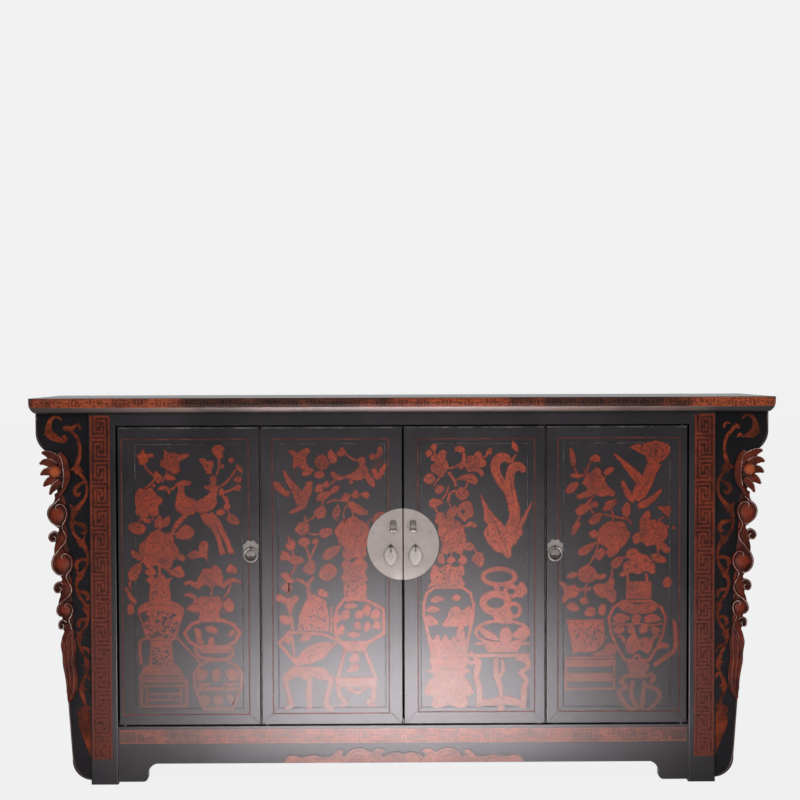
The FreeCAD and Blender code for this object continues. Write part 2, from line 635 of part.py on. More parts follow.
hardware = {}
holes = {}
for side, sign in (("left", -1), ("right", 1)):
    x_staple = sign * sizes.staple_offset
    z_staple = sizes.lock_height + sizes.staple_rise
    x_leaf = sign * sizes.leaf_offset
    z_hole = sizes.lock_height - sizes.leaf_drop
    z_loop = z_hole + sizes.leaf_loop + sizes.leaf_hole - sizes.leaf_wire - sizes.leaf_play
    y_loop = y_plate - sizes.leaf_loop - sizes.leaf_wire
    holes[side + "_inner"] = [shank_hole(side + "_staple", x_staple, z_staple),
                              shank_hole(side + "_leaf_eye", x_leaf, z_loop)]
    disc = board(side + "_lock_disc", "XZ", [
        (sign * sizes.lock_split, sizes.lock_height - sizes.lock_radius, sizes.lock_radius, -sign),
        (sign * sizes.lock_radius, sizes.lock_height, sizes.lock_radius, -sign),
        (sign * sizes.lock_split, sizes.lock_height + sizes.lock_radius)], (y_plate, y_front))
    hardware[side + "_lock_plate"] = without(side + "_lock_plate", disc, *holes[side + "_inner"])
    half = sizes.staple_width / 2
    cheeks = both(x_staple - half, x_staple + half)
    y_bore = y_plate - sizes.staple_reach / 2
    nose = sizes.staple_height / 2 - 4
    loop = board(side + "_staple_loop", "YZ", [
        (y_plate, z_staple - sizes.staple_height / 2), (y_plate, z_staple + sizes.staple_height / 2),
        (y_plate - sizes.staple_reach + 6, z_staple + nose),
        (y_plate - sizes.staple_reach, z_staple + nose - 6),
        (y_plate - sizes.staple_reach, z_staple - nose + 6),
        (y_plate - sizes.staple_reach + 6, z_staple - nose)], cheeks)
    eye = upright_bore(side + "_staple_bore", sizes.staple_bore, (cheeks[0] - 1, cheeks[1] + 1), y_bore,
                       z_staple)
    bored = without(side + "_staple_ring", loop, eye)
    hardware[side + "_lock_staple"] = joined(side + "_lock_staple", bored,
                                             *shank_parts(side + "_staple", x_staple, y_plate, z_staple))
    wire_ring = torus(side + "_leaf_loop", sizes.leaf_loop, sizes.leaf_wire, x_leaf, y_loop, z_loop, "X")
    hardware[side + "_leaf_eye"] = joined(side + "_leaf_eye", wire_ring,
                                          *shank_parts(side + "_leaf_eye", x_leaf,
                                                       y_loop + sizes.leaf_loop, z_loop))
    wide = sizes.leaf_width / 2
    belly = z_hole - sizes.leaf_tail * 0.32
    upper = z_hole + sizes.leaf_tip - belly
    lower = belly - z_hole + sizes.leaf_tail
    upper_curve = (upper * upper + wide * wide) / (wide * 2) * 1.02
    lower_curve = (lower * lower + wide * wide) / (wide * 2) * 1.02
    leaf = board(side + "_leaf_blank", "XZ", [
        (x_leaf, z_hole + sizes.leaf_tip, upper_curve, -1),
        (x_leaf - wide, belly, lower_curve, -1),
        (x_leaf, z_hole - sizes.leaf_tail, lower_curve, -1),
        (x_leaf + wide, belly, upper_curve, -1)],
        (y_loop - sizes.leaf_thickness / 2, y_loop + sizes.leaf_thickness / 2))
    eyelet = upright_bore(side + "_leaf_eyelet", sizes.leaf_hole, x_leaf,
                          (y_loop - sizes.leaf_thickness, y_loop + sizes.leaf_thickness), z_hole)
    hardware[side + "_leaf_pull"] = without(side + "_leaf_pull", leaf, eyelet)

    hinge, free = door_edges(sign, 1)
    x_ring = free + sign * sizes.ring_edge
    eye_radius = sizes.ring_wire + sizes.ring_play + sizes.eye_wire
    y_eye = y_plate - eye_radius - sizes.eye_wire
    holes[side + "_outer"] = [shank_hole(side + "_ring_eye", x_ring, sizes.ring_height)]
    lobes = [upright_bore(side + "_ring_disc", sizes.ring_plate, x_ring, (y_plate, y_front),
                          sizes.ring_height)]
    lobe_ring = sizes.ring_plate - sizes.ring_lobe / 2
    for number in range(8):
        angle = math.radians(22.5 + 45 * number)
        lobes.append(upright_bore(side + "_ring_lobe_%d" % number, sizes.ring_lobe,
                                  x_ring + lobe_ring * math.cos(angle), (y_plate, y_front),
                                  sizes.ring_height + lobe_ring * math.sin(angle)))
    hardware[side + "_ring_plate"] = without(side + "_ring_plate",
                                             joined(side + "_ring_plate_blank", *lobes),
                                             *holes[side + "_outer"])
    wire_ring = torus(side + "_ring_eye_loop", eye_radius, sizes.eye_wire, x_ring, y_eye,
                      sizes.ring_height, "X")
    hardware[side + "_ring_eye"] = joined(side + "_ring_eye", wire_ring,
                                          *shank_parts(side + "_ring_eye", x_ring, y_eye + eye_radius,
                                                       sizes.ring_height))
    hardware[side + "_ring"] = torus(side + "_ring", sizes.ring_radius, sizes.ring_wire, x_ring, y_eye,
                                     sizes.ring_height - sizes.ring_radius, "Y")

# Doors: mitred frames round flush panels; the hinge stile ends in two pivots
door_pieces = []
for name, sign, outer in DOORS:
    hinge, free = door_edges(sign, outer)
    inward = -sign
    depth = (y_front, y_back)
    field_x = both(hinge + inward * sizes.door_frame, free - inward * sizes.door_frame)
    field_z = (door_low + sizes.door_frame, door_top - sizes.door_frame)
    slip = (y_front + sizes.door_panel - sizes.tongue_thickness - 2, y_front + sizes.door_panel - 2)
    panel = joined(name + "_door_panel",
                   block(name + "_panel_board", field_x, (y_front, y_front + sizes.door_panel), field_z),
                   block(name + "_panel_tongue",
                         (field_x[0] - sizes.groove_depth, field_x[1] + sizes.groove_depth), slip,
                         (field_z[0] - sizes.groove_depth, field_z[1] + sizes.groove_depth)))
    door_pieces.append(panel)
    x_pivot = hinge + inward * sizes.pivot_inset
    skin = (y_front, y_front + sizes.face_mitre)
    core = (y_front + sizes.face_mitre, y_back)
    for piece, edge, way in (("hinge_stile", hinge, inward), ("free_stile", free, -inward)):
        label = "%s_door_%s" % (name, piece)
        inner = edge + way * sizes.door_frame
        face = board(label + "_face", "XZ", [
            (edge, door_low), (inner, field_z[0]), (inner, field_z[1]), (edge, door_top)], skin)
        rounded(face, sizes.fine_edge, lambda middle, along: abs(along.z) > 1 and near(middle.x, edge.value)
                and near(middle.y, y_front.value))
        bar = board(label + "_core", "XY", [
            (edge, core[0]), (inner, core[0]), (inner, core[1]), (edge, core[1])], (door_low, door_top))
        if piece == "hinge_stile":
            rounded(bar, sizes.heel, lambda middle, along: abs(along.z) > 1 and near(middle.x, edge.value)
                    and near(middle.y, y_back.value))
            blank = joined(label + "_blank", face, bar,
                           pin(label + "_top_pivot", sizes.pivot_radius, x_pivot, y_pivot,
                               (door_top - sizes.shoulder, z_open_top + sizes.pivot_top)),
                           pin(label + "_low_pivot", sizes.pivot_radius, x_pivot, y_pivot,
                               (z_open_low - sizes.pivot_low, door_low + sizes.shoulder)))
            door_pieces.append(without(label, blank, panel))
        else:
            blank = joined(label + "_blank", face, bar)
            door_pieces.append(without(label, blank, panel, *holes[name]))
    rails = []
    for level, edge, inner in (("top", door_top, field_z[1]), ("low", door_low, field_z[0])):
        label = "%s_door_%s_rail" % (name, level)
        face = board(label + "_face", "XZ", [
            (hinge, edge), (hinge + inward * sizes.door_frame, inner),
            (free - inward * sizes.door_frame, inner), (free, edge)], skin)
        rounded(face, sizes.fine_edge, lambda middle, along: abs(along.x) > 1 and near(middle.z, edge.value)
                and near(middle.y, y_front.value))
        bar = block(label + "_core", field_x, core, both(edge, inner))
        rails.append(without(label, joined(label + "_blank", face, bar), panel))
    door_pieces.append(group("%s_door_rails" % name, rails))

# Carvings on the front wings: a lotus on its stem, a chain of scrolls and a
# tassel, cut from one strip that overhangs the edge of the wing

doc.recompute()


def flat(points, closed=True):
    """A face in the XZ plane, bounded by a smooth curve through a few points."""
    curve = Part.BSplineCurve()
    curve.interpolate([FreeCAD.Vector(x, 0, z) for x, z in points], PeriodicFlag=closed)
    return Part.Face(Part.Wire(curve.toShape()))


def raised(face, thickness, back):
    solid = face.extrude(FreeCAD.Vector(0, -thickness, 0))
    solid.translate(FreeCAD.Vector(0, back, 0))
    return solid


def petal(x, z, angle, length, width):
    """A leaf shape from its root at (x, z), pointed at the tip."""
    out = FreeCAD.Vector(math.cos(angle), 0, math.sin(angle))
    across = FreeCAD.Vector(-math.sin(angle), 0, math.cos(angle))
    root = FreeCAD.Vector(x, 0, z)
    tip = root + out * length
    belly = root + out * (length * 0.55)
    one = Part.Arc(root, belly + across * (width / 2), tip)
    two = Part.Arc(tip, belly - across * (width / 2), root)
    return Part.Face(Part.Wire([one.toShape(), two.toShape()]))


def carving_shape(sign):
    at = sheet.get
    out = at("top_length") / 2 - at("end_overhang")
    back = y_face.value + at("wing_setback")
    depth = at("carving_depth")
    step = at("carving_step")
    high = at("wing_neck_height")
    low = at("wing_low_height")

    def line(z):
        """The line beside the edge of the wing that the chain follows, at a height."""
        part = (z - low) / (high - low)
        edge = at("wing_low") + (at("wing_neck") - at("wing_low")) * part
        return out + edge - at("carving_inset")

    solids = []
    calyx = (line(high) - 4, at("lotus_height"))
    fan = ((105, 0.45, 0), (83, 0.79, 1), (54, 1.0, 3), (35, 0.79, 1), (19, 0.67, 2), (-19, 0.50, 1),
           (-38, 0.48, 0))
    for degrees, share, layer in fan:
        face = petal(calyx[0], calyx[1], math.radians(degrees), at("lotus_reach") * share,
                     at("petal_width") * (0.7 + 0.3 * share))
        solids.append(raised(face, depth + step * layer, back))
    bud = Part.makeCylinder(at("petal_width") * 0.5, depth + step * 2.6,
                            FreeCAD.Vector(calyx[0] + 14, back, calyx[1] + 28), FreeCAD.Vector(0, -1, 0))
    solids.append(bud)

    start = at("lotus_height") - 3 * at("curl_radius")
    finish = at("tassel_top") + 0.7 * at("curl_radius")
    curls = []
    for share, swing, girth in ((0.0, 0.73, 1.0), (0.22, 1.34, 0.52), (0.445, 0.34, 1.0),
                                (0.67, 1.03, 0.50), (0.855, 0.15, 0.80), (1.0, 0.56, 0.48)):
        z = start + (finish - start) * share
        curls.append((line(z) + at("curl_radius") * swing, z, at("curl_radius") * girth))
    left, right = [], []
    for number in range(11):
        share = number / 10.0
        z = at("lotus_height") + (at("tassel_top") - 8 - at("lotus_height")) * share
        bow = math.sin(min(share * 2.6, 1.0) * math.pi) * 0.9 - 0.2 * (1.0 - share)
        middle = line(z) + at("curl_radius") * bow * (1.0 - 0.3 * share)
        half = at("stem_width") / 2 * (0.9 - 0.15 * share)
        left.append(FreeCAD.Vector(middle - half, 0, z))
        right.append(FreeCAD.Vector(middle + half, 0, z))
    edges = []
    for points in (left, list(reversed(right))):
        curve = Part.BSplineCurve()
        curve.interpolate(points)
        edges.append(curve.toShape())
    edges.insert(1, Part.LineSegment(left[-1], right[-1]).toShape())
    edges.append(Part.LineSegment(right[0], left[0]).toShape())
    solids.append(raised(Part.Face(Part.Wire(edges)), depth, back))
    for number, (x, z, radius) in enumerate(curls):
        root = (line(z) - radius * 0.4, z + radius * 1.3)
        angle = math.atan2(z - radius * 0.2 - root[1], x - root[0])
        reach = math.hypot(x - root[0], z - radius * 0.2 - root[1]) + radius * 0.8
        solids.append(raised(petal(root[0], root[1], angle, reach, radius * 1.7), depth + step * 0.5, back))
        solids.append(Part.makeCylinder(radius, depth + step * (1 + number % 2),
                                        FreeCAD.Vector(x, back, z), FreeCAD.Vector(0, -1, 0)))

    wide = at("tassel_width")
    fall = at("tassel_top") - low
    for shift, reach, layer in ((-0.30, 0.78, 0), (0.26, 0.72, 1), (0.0, 1.0, 2)):
        points = []
        for side_of, shares in ((-1, (0.0, 0.25, 0.5, 0.75)), (1, (0.75, 0.5, 0.25, 0.0))):
            if side_of == 1:
                points.append((line(low) + wide * shift * 0.5, at("tassel_top") - fall * reach))
            for share in shares:
                z = at("tassel_top") - fall * reach * share
                half = wide * (0.20 + 0.07 * math.sin(share * 3.2)) * (1.0 - 0.45 * share)
                sway = 3.0 * math.sin(share * 6.0 + layer * 2.0)
                points.append((line(z) + 2 + wide * shift + side_of * half + sway, z))
        solids.append(raised(flat(points), depth + step * layer * 0.8, back))

    whole = solids[0].fuse(solids[1:]).removeSplitter()
    if sign < 0:
        whole = whole.mirror(FreeCAD.Vector(0, 0, 0), FreeCAD.Vector(1, 0, 0))
    return whole


carvings = []
for side, sign in (("left", -1), ("right", 1)):
    carving = doc.addObject("Part::Feature", side + "_wing_carving")
    carving.Shape = carving_shape(sign)
    carvings.append(carving)

doc.recompute()

# Every piece of the sideboard, in the order in which it goes together
pieces = list(posts.values())
pieces += [front_top_rail, front_bottom_rail, apron, mullions, back_rails, back_panel]
for side in ("left", "right"):
    pieces += [end_rails[side], end_panels[side]]
pieces += [floor_board, shelf_bearers, shelf]
pieces += list(wings.values()) + carvings
pieces += list(top_rails.values()) + [top_panel, top_battens]
pieces += door_pieces + list(hardware.values())

for thing in doc.Objects:
    if "Invalid" in thing.State or "Error" in thing.State:
        raise RuntimeError("%s did not build: %s" % (thing.Label, thing.State))
os.makedirs("parts", exist_ok=True)
for piece in pieces:
    if piece.Shape.isNull() or not piece.Shape.isValid():
        raise RuntimeError(piece.Label + " has no valid shape")
    piece.Shape.exportStep("parts/" + piece.Label + ".step")
print(len(pieces), "pieces")
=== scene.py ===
import json
import math
import random

import bpy
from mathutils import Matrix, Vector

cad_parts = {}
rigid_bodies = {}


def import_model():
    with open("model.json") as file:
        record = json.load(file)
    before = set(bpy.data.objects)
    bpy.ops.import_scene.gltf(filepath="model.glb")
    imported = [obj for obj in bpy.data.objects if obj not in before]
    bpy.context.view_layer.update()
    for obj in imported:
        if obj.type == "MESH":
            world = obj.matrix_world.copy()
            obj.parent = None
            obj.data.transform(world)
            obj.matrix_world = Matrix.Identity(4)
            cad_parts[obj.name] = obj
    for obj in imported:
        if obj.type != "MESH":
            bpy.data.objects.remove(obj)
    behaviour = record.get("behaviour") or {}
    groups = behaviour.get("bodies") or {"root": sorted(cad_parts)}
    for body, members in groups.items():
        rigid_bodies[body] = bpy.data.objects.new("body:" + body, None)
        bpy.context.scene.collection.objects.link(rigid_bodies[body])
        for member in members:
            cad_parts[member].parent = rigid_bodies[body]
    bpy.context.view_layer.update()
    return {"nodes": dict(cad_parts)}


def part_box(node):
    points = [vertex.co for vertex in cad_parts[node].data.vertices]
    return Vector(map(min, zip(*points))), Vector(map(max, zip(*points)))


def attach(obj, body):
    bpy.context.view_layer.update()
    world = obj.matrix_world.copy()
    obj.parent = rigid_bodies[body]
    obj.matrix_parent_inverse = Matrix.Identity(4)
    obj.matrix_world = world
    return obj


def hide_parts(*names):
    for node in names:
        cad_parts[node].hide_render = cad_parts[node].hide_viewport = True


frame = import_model()


# Posts: four square legs of soft wood, mortised for every rail, coated with black
# lacquer that is rubbed to a satin and worn through along the edges.
def group(name, inputs, outputs):
    """An empty node group with its sockets."""
    tree = bpy.data.node_groups.new(name, "ShaderNodeTree")
    for label, value in inputs.items():
        kind = "NodeSocketVector" if isinstance(value, tuple) else "NodeSocketFloat"
        tree.interface.new_socket(label, in_out="INPUT", socket_type=kind).default_value = value
    for label in outputs:
        tree.interface.new_socket(label, in_out="OUTPUT", socket_type="NodeSocketFloat")
    return tree, tree.nodes.new("NodeGroupInput"), tree.nodes.new("NodeGroupOutput")


def add(tree, kind, settings=None, **inputs):
    """A new node with its settings and the values of its sockets."""
    node = tree.nodes.new("ShaderNode" + kind)
    for key, value in (settings or {}).items():
        setattr(node, key, value)
    for label, value in inputs.items():
        node.inputs[label.replace("_", " ")].default_value = value
    return node


def join(tree, *pairs):
    """Links each source to the target after it."""
    for source, target in zip(pairs[::2], pairs[1::2]):
        tree.links.new(source, target)


def maths(tree, operation, first, second, clamp=False):
    node = add(tree, "Math", {"operation": operation, "use_clamp": clamp})
    for socket, value in zip(node.inputs, (first, second)):
        if isinstance(value, float):
            socket.default_value = value
        else:
            tree.links.new(value, socket)
    return node.outputs[0]


def stretch(tree, value, low, high, to_low=0.0, to_high=1.0):
    """Runs a value smoothly from one range to another."""
    node = add(tree, "MapRange", {"interpolation_type": "SMOOTHSTEP"})
    for label, number in (("From Min", low), ("From Max", high), ("To Min", to_low), ("To Max", to_high)):
        node.inputs[label].default_value = number
    tree.links.new(value, node.inputs["Value"])
    return node.outputs["Result"]


def blend(tree, factor, first, second):
    node = add(tree, "Mix", {"data_type": "RGBA"})
    tree.links.new(factor, node.inputs["Factor"])
    for socket, value in ((node.inputs[6], first), (node.inputs[7], second)):
        if isinstance(value, tuple):
            socket.default_value = (*value, 1.0)
        else:
            tree.links.new(value, socket)
    return node.outputs[2]


def height(tree):
    """Height above the floor."""
    place = add(tree, "TexCoord")
    parts = add(tree, "SeparateXYZ")
    join(tree, place.outputs["Object"], parts.inputs[0])
    return parts.outputs["Z"]


# Edge wear: the normal of a rounded edge set against the flat face beside it
tree, given, out = group("worn_edges", {"Width": 0.002, "Patch Size": 14.0, "Keep": 0.35}, ["Mask"])
rounding = add(tree, "Bevel", {"samples": 6})
surface = add(tree, "NewGeometry")
facing = add(tree, "VectorMath", {"operation": "DOT_PRODUCT"})
place = add(tree, "TexCoord")
patches = add(tree, "TexNoise", Detail=6.0, Roughness=0.65)
join(tree, given.outputs["Width"], rounding.inputs["Radius"], rounding.outputs[0], facing.inputs[0],
     surface.outputs["Normal"], facing.inputs[1], place.outputs["Object"], patches.inputs["Vector"],
     given.outputs["Patch Size"], patches.inputs["Scale"])
edge = stretch(tree, facing.outputs["Value"], 0.99, 0.86)
worn = maths(tree, "SUBTRACT", patches.outputs["Fac"], given.outputs["Keep"])
worn = maths(tree, "MULTIPLY", worn, 5.0, True)
join(tree, maths(tree, "MULTIPLY", edge, worn, True), out.inputs["Mask"])
worn_edges = tree

# Rubbing: slow clouds, fine hand marks and stray nibs that break up the gloss
tree, given, out = group("hand_rubbed", {"Stretch": (1.0, 1.0, 1.0), "Size": 6.0}, ["Cloud", "Mark", "Nib"])
place = add(tree, "TexCoord")
scaled = add(tree, "VectorMath", {"operation": "MULTIPLY"})
cloud = add(tree, "TexNoise", Detail=4.0, Roughness=0.55)
mark = add(tree, "TexNoise", Scale=90.0, Detail=5.0, Roughness=0.7)
nib = add(tree, "TexVoronoi", Scale=160.0)
join(tree, place.outputs["Object"], scaled.inputs[0], given.outputs["Stretch"], scaled.inputs[1],
     place.outputs["Object"], cloud.inputs["Vector"], given.outputs["Size"], cloud.inputs["Scale"],
     scaled.outputs[0], mark.inputs["Vector"], place.outputs["Object"], nib.inputs["Vector"],
     cloud.outputs["Fac"], out.inputs["Cloud"], mark.outputs["Fac"], out.inputs["Mark"])
join(tree, stretch(tree, nib.outputs["Distance"], 0.12, 0.0), out.inputs["Nib"])
hand_rubbed = tree


def coat(name, roughness=0.4, ior=1.45, metallic=0.0):
    material = bpy.data.materials.new(name)
    material.use_nodes = True
    shader = material.node_tree.nodes["Principled BSDF"]
    shader.inputs["Roughness"].default_value = roughness
    shader.inputs["IOR"].default_value = ior
    shader.inputs["Metallic"].default_value = metallic
    return material, material.node_tree, shader


def placed(tree, shared, **inputs):
    node = tree.nodes.new("ShaderNodeGroup")
    node.node_tree = shared
    for label, value in inputs.items():
        node.inputs[label.replace("_", " ")].default_value = value
    return node.outputs


def raised(tree, shader, level, strength, distance):
    bump = add(tree, "Bump", Strength=strength, Distance=distance)
    join(tree, level, bump.inputs["Height"], bump.outputs["Normal"], shader.inputs["Normal"])


def lacquer(name, along, edge_width=0.0016, keep=0.42, rub=(0.085, 0.055, 0.045), shine=1.20,
            grey=(0.0145, 0.0126, 0.0147)):
    """Black lacquer; along is how the rubbing marks are drawn out on this piece."""
    material, tree, shader = coat(name, 0.36, shine)
    rubbed = placed(tree, hand_rubbed, Stretch=along, Size=5.0)
    edges = placed(tree, worn_edges, Width=edge_width, Patch_Size=22.0, Keep=keep)
    ground = blend(
        tree, stretch(tree, rubbed["Cloud"], 0.35, 0.7), tuple(0.42 * part for part in grey), grey)
    ground = blend(tree, maths(tree, "MULTIPLY", rubbed["Nib"], 0.35), ground, (0.05, 0.045, 0.042))
    ground = blend(tree, maths(tree, "MULTIPLY", edges["Mask"], 0.8), ground, rub)
    join(tree, ground, shader.inputs["Base Color"])
    join(tree, stretch(tree, rubbed["Mark"], 0.3, 0.7, 0.28, 0.34), shader.inputs["Roughness"])
    raised(tree, shader, rubbed["Mark"], 0.10, 0.0008)
    return material


def cover(piece, material):
    piece.data.materials.clear()
    piece.data.materials.append(material)


def finish(material, *names):
    for name in names:
        cover(frame["nodes"][name], material)


SIDES = ("left", "right")
ENDS = ("front", "back")
upright = (6.0, 6.0, 0.7)
lengthwise = (0.7, 6.0, 6.0)
post_lacquer = lacquer("post_lacquer", upright)
finish(post_lacquer, *[end + "_" + side + "_post" for end in ENDS for side in SIDES])


# Key fret on the front posts: painted by hand in red over a thin red-brown wash,
# bold under the top and rubbed almost flat lower down, where hands and feet reach.
def smooth(points, steps=5, closed=False):
    """A flowing line through points, whose numbers all vary along it."""
    count = len(points)
    flow = []
    for i in range(count if closed else count - 1):
        near = [points[(i + k) % count] if closed else points[min(max(i + k, 0), count - 1)]
                for k in (-1, 0, 1, 2)]
        for step in range(steps):
            t = step / steps
            flow.append(tuple(0.5 * (2 * q + (r - p) * t + (2 * p - 5 * q + 4 * r - s) * t * t
                                     + (3 * q - p - 3 * r + s) * t ** 3) for p, q, r, s in zip(*near)))
    return flow if closed else flow + [tuple(points[-1])]


def offset(points, distance, closed):
    """The same line moved sideways, with mitred corners."""
    moved = []
    count = len(points)
    for i, here in enumerate(points):
        ends = [points[i - 1], here, points[(i + 1) % count]]
        if not closed:
            ends = ends[1 if i == 0 else 0:2 if i == count - 1 else 3]
        across = up = sides = 0.0
        for p, q in zip(ends, ends[1:]):
            size = math.hypot(q[0] - p[0], q[1] - p[1])
            across -= (q[1] - p[1]) / size
            up += (q[0] - p[0]) / size
            sides += 1.0
        scale = distance * sides / (across * across + up * up)
        moved.append((here[0] + across * scale, here[1] + up * scale))
    return moved


def line(points, width, closed=False):
    """Outlines of a straight-sided line of even width."""
    sides = [offset(points, half, closed) for half in (width / 2, -width / 2)]
    return sides if closed else [sides[0] + sides[1][::-1]]


def block(left, right, low, high):
    """A rectangle, as one group of outlines."""
    return [[(left, low), (right, low), (right, high), (left, high)]]


def one_mesh(parts, name):
    """Makes one mesh of curves, with their places in it."""
    bpy.ops.object.select_all(action="DESELECT")
    for part in parts:
        part.select_set(True)
    bpy.context.view_layer.objects.active = parts[0]
    bpy.ops.object.convert(target="MESH")
    bpy.ops.object.transform_apply()
    bpy.ops.object.join()
    piece = bpy.context.object
    piece.name = piece.data.name = name
    return piece


MM = 0.001  # millimetres, in metres
LAYERS = 24  # films of different thickness before they repeat


def lay_paint(name, groups, corner, unit, paint, body, film=0.0003, sunk=0.0001, step=0.000008, spread=0.0):
    """Draws each group of outlines as a film of paint on a face that looks to the front.

    Outlines are in units from the corner. Each film is a step thicker than the one
    before, so that films that cross don't lie in one plane."""
    films = []
    for number, outlines in enumerate(groups):
        top = film + step * (number % LAYERS)
        drawing = bpy.data.curves.new(name, "CURVE")
        drawing.dimensions = "2D"
        drawing.fill_mode = "BOTH"
        drawing.offset = spread
        drawing.extrude = (top + sunk) / 2 / unit
        for outline in outlines:
            edge = drawing.splines.new("POLY")
            edge.points.add(len(outline) - 1)
            for point, (u, v) in zip(edge.points, outline):
                point.co = (u, v, 0.0, 1.0)
            edge.use_cyclic_u = True
        layer = bpy.data.objects.new(name, drawing)
        layer.scale = (unit, unit, unit)
        layer.rotation_euler = (math.pi / 2, 0.0, 0.0)
        layer.location = (corner[0], corner[1] - (top - sunk) / 2, corner[2])
        bpy.context.scene.collection.objects.link(layer)
        films.append(layer)
    piece = one_mesh(films, name)
    cover(piece, paint)
    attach(piece, body)
    return piece


def red_paint(name, bright, dull, bare, keep, shine=1.12, faded=None, size=26.0, patch=(0.32, 0.68),
              fade=(0.66, 0.30, 0.75)):
    """Paint over the black; it thins where it has been handled, and can fade towards the floor.

    Fade is the height where that starts, the height where it ends, and its strength there."""
    material, tree, shader = coat(name, 0.5, shine)
    rubbed = placed(tree, hand_rubbed, Stretch=(1.0, 1.0, 1.0), Size=size)
    place = add(tree, "TexCoord")
    grain = add(tree, "TexNoise", Scale=190.0, Detail=3.0, Roughness=0.6)
    join(tree, place.outputs["Object"], grain.inputs["Vector"])
    tone = blend(tree, stretch(tree, rubbed["Cloud"], *patch), dull, bright)
    if faded:
        tone = blend(tree, stretch(tree, height(tree), fade[0], fade[1], 0.0, fade[2]), tone, faded)
    thin = maths(tree, "MULTIPLY", stretch(tree, rubbed["Mark"], keep, keep - 0.12), 0.75)
    thin = maths(tree, "MAXIMUM", thin, stretch(tree, grain.outputs["Fac"], 0.54, 0.30, 0.0, 0.7))
    join(tree, blend(tree, thin, tone, bare), shader.inputs["Base Color"])
    join(tree, stretch(tree, rubbed["Mark"], 0.3, 0.7, 0.28, 0.35), shader.inputs["Roughness"])
    raised(tree, shader, rubbed["Mark"], 0.15, 0.0006)
    return material


KEY = 8.0  # squares across one key of the fret
HOOKS = (((KEY, 0.0), (1.8, 0.0), (1.8, 6.3), (4.8, 6.3), (4.8, 3.6)),
         ((0.0, KEY), (6.2, KEY), (6.2, 1.7), (3.2, 1.7), (3.2, 4.4)))


def fret(start, stop, low, high, cell, gap, width):
    """A band of paired key hooks between two border lines, mirrored in every second cell."""
    groups = [line([(start, low), (stop, low)], width), line([(start, high), (stop, high)], width)]
    count = int((stop - start + gap) / (cell + gap))
    spare = (stop - start - count * cell - (count - 1) * gap) / 2
    for number in range(count):
        first = start + spare + number * (cell + gap)
        for hook in HOOKS:
            path = []
            for across, along in hook:
                share = across / KEY if number % 2 else 1.0 - across / KEY
                path.append((first + along / KEY * cell, low + (high - low) * share))
            groups.append(line(path, width))
    return groups


def upended(groups):
    """A band that ran across, turned to run up."""
    return [[[(v, u) for u, v in outline] for outline in outlines] for outlines in groups]


def front_of(name):
    """The plane of a CAD node's front face, as a point on the floor in the middle."""
    return (0.0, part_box(name)[0][1], 0.0)


fret_paint = red_paint("fret_paint", (0.145, 0.026, 0.011), (0.078, 0.015, 0.008), (0.018, 0.006, 0.004),
                       keep=0.45, faded=(0.105, 0.026, 0.017))
wash = red_paint("fret_wash", (0.070, 0.014, 0.007), (0.026, 0.007, 0.005), (0.007, 0.004, 0.004),
                 keep=0.48, faded=(0.070, 0.018, 0.012))
WASH = 0.00012  # thickness of the thin first coat
BAND = 48.0  # width of the painted band on a post
for side, start in (("left", -756.0), ("right", 708.0)):
    face = front_of("front_" + side + "_post")
    lay_paint(
        side + "_post_wash", [block(start, start + BAND, 62.0, 899.0)], face, MM, wash, "carcass", WASH)
    keys = fret(64.0, 897.0, start + 2.0, start + BAND - 2.0, cell=46.0, gap=10.0, width=4.4)
    lay_paint(side + "_post_fret", upended(keys), face, MM, fret_paint, "carcass")

# Front rails: tenoned between the posts above and below the doors. The lower one
# carries a narrower fret with longer keys, painted in the same red.
rail_lacquer = lacquer("rail_lacquer", lengthwise)
finish(rail_lacquer, "front_top_rail", "front_bottom_rail", "back_rails")
rail_wash = red_paint("rail_wash", (0.085, 0.029, 0.020), (0.040, 0.017, 0.013), (0.009, 0.006, 0.006),
                      keep=0.46, shine=1.20)
rail_fret = red_paint("rail_fret", (0.185, 0.048, 0.026), (0.100, 0.030, 0.020), (0.030, 0.012, 0.010),
                      keep=0.46, shine=1.20)
face = front_of("front_bottom_rail")
lay_paint("bottom_rail_wash", [block(-691.0, 691.0, 100.0, 133.0)], face, MM, rail_wash, "carcass", WASH)
keys = fret(-690.0, 690.0, 101.5, 131.5, cell=100.0, gap=9.0, width=3.6)
lay_paint("bottom_rail_fret", keys, face, MM, rail_fret, "carcass")

# Apron: one board under the bottom rail, sawn to a bracket at each end, with a
# low cloud scroll carved along the middle of its lower edge.
finish(rail_lacquer, "front_apron")
CLOUD = (
    (0, 70), (12, 75), (28, 74), (42, 68), (50, 64), (53, 71), (45, 77), (47, 82), (58, 85), (68, 83),
    (77, 76), (84, 78.5), (97, 84), (113, 85.5), (127, 81), (137, 73), (143, 66), (147, 66), (150, 71),
    (146, 77), (149, 81.5), (160, 81), (170, 73), (178, 66), (197, 64), (221, 69), (249, 64), (269, 69),
    (282, 66), (294, 53))
half = smooth(CLOUD, 4)
cloud = half + [(294, 51), (0, 51)]
groups = [[[(sign * x, z) for x, z in cloud]] for sign in (-1.0, 1.0)]
cloud_paint = red_paint("cloud_paint", (0.165, 0.055, 0.038), (0.095, 0.034, 0.026), (0.030, 0.016, 0.014),
                        keep=0.42, shine=1.20)
face = front_of("front_apron")
lay_paint("apron_cloud", groups, face, MM, cloud_paint, "carcass", film=0.0022, sunk=0.0005)
SCROLLS = (
    ((55, 68), (62, 74), (72, 72), (76, 66)), ((92, 74), (104, 79), (118, 78), (130, 70)),
    ((20, 68), (30, 69), (40, 63)), ((160, 74), (154, 68), (158, 61)),
    ((182, 61), (200, 59.5), (220, 63)), ((98, 66), (110, 70), (122, 66)))
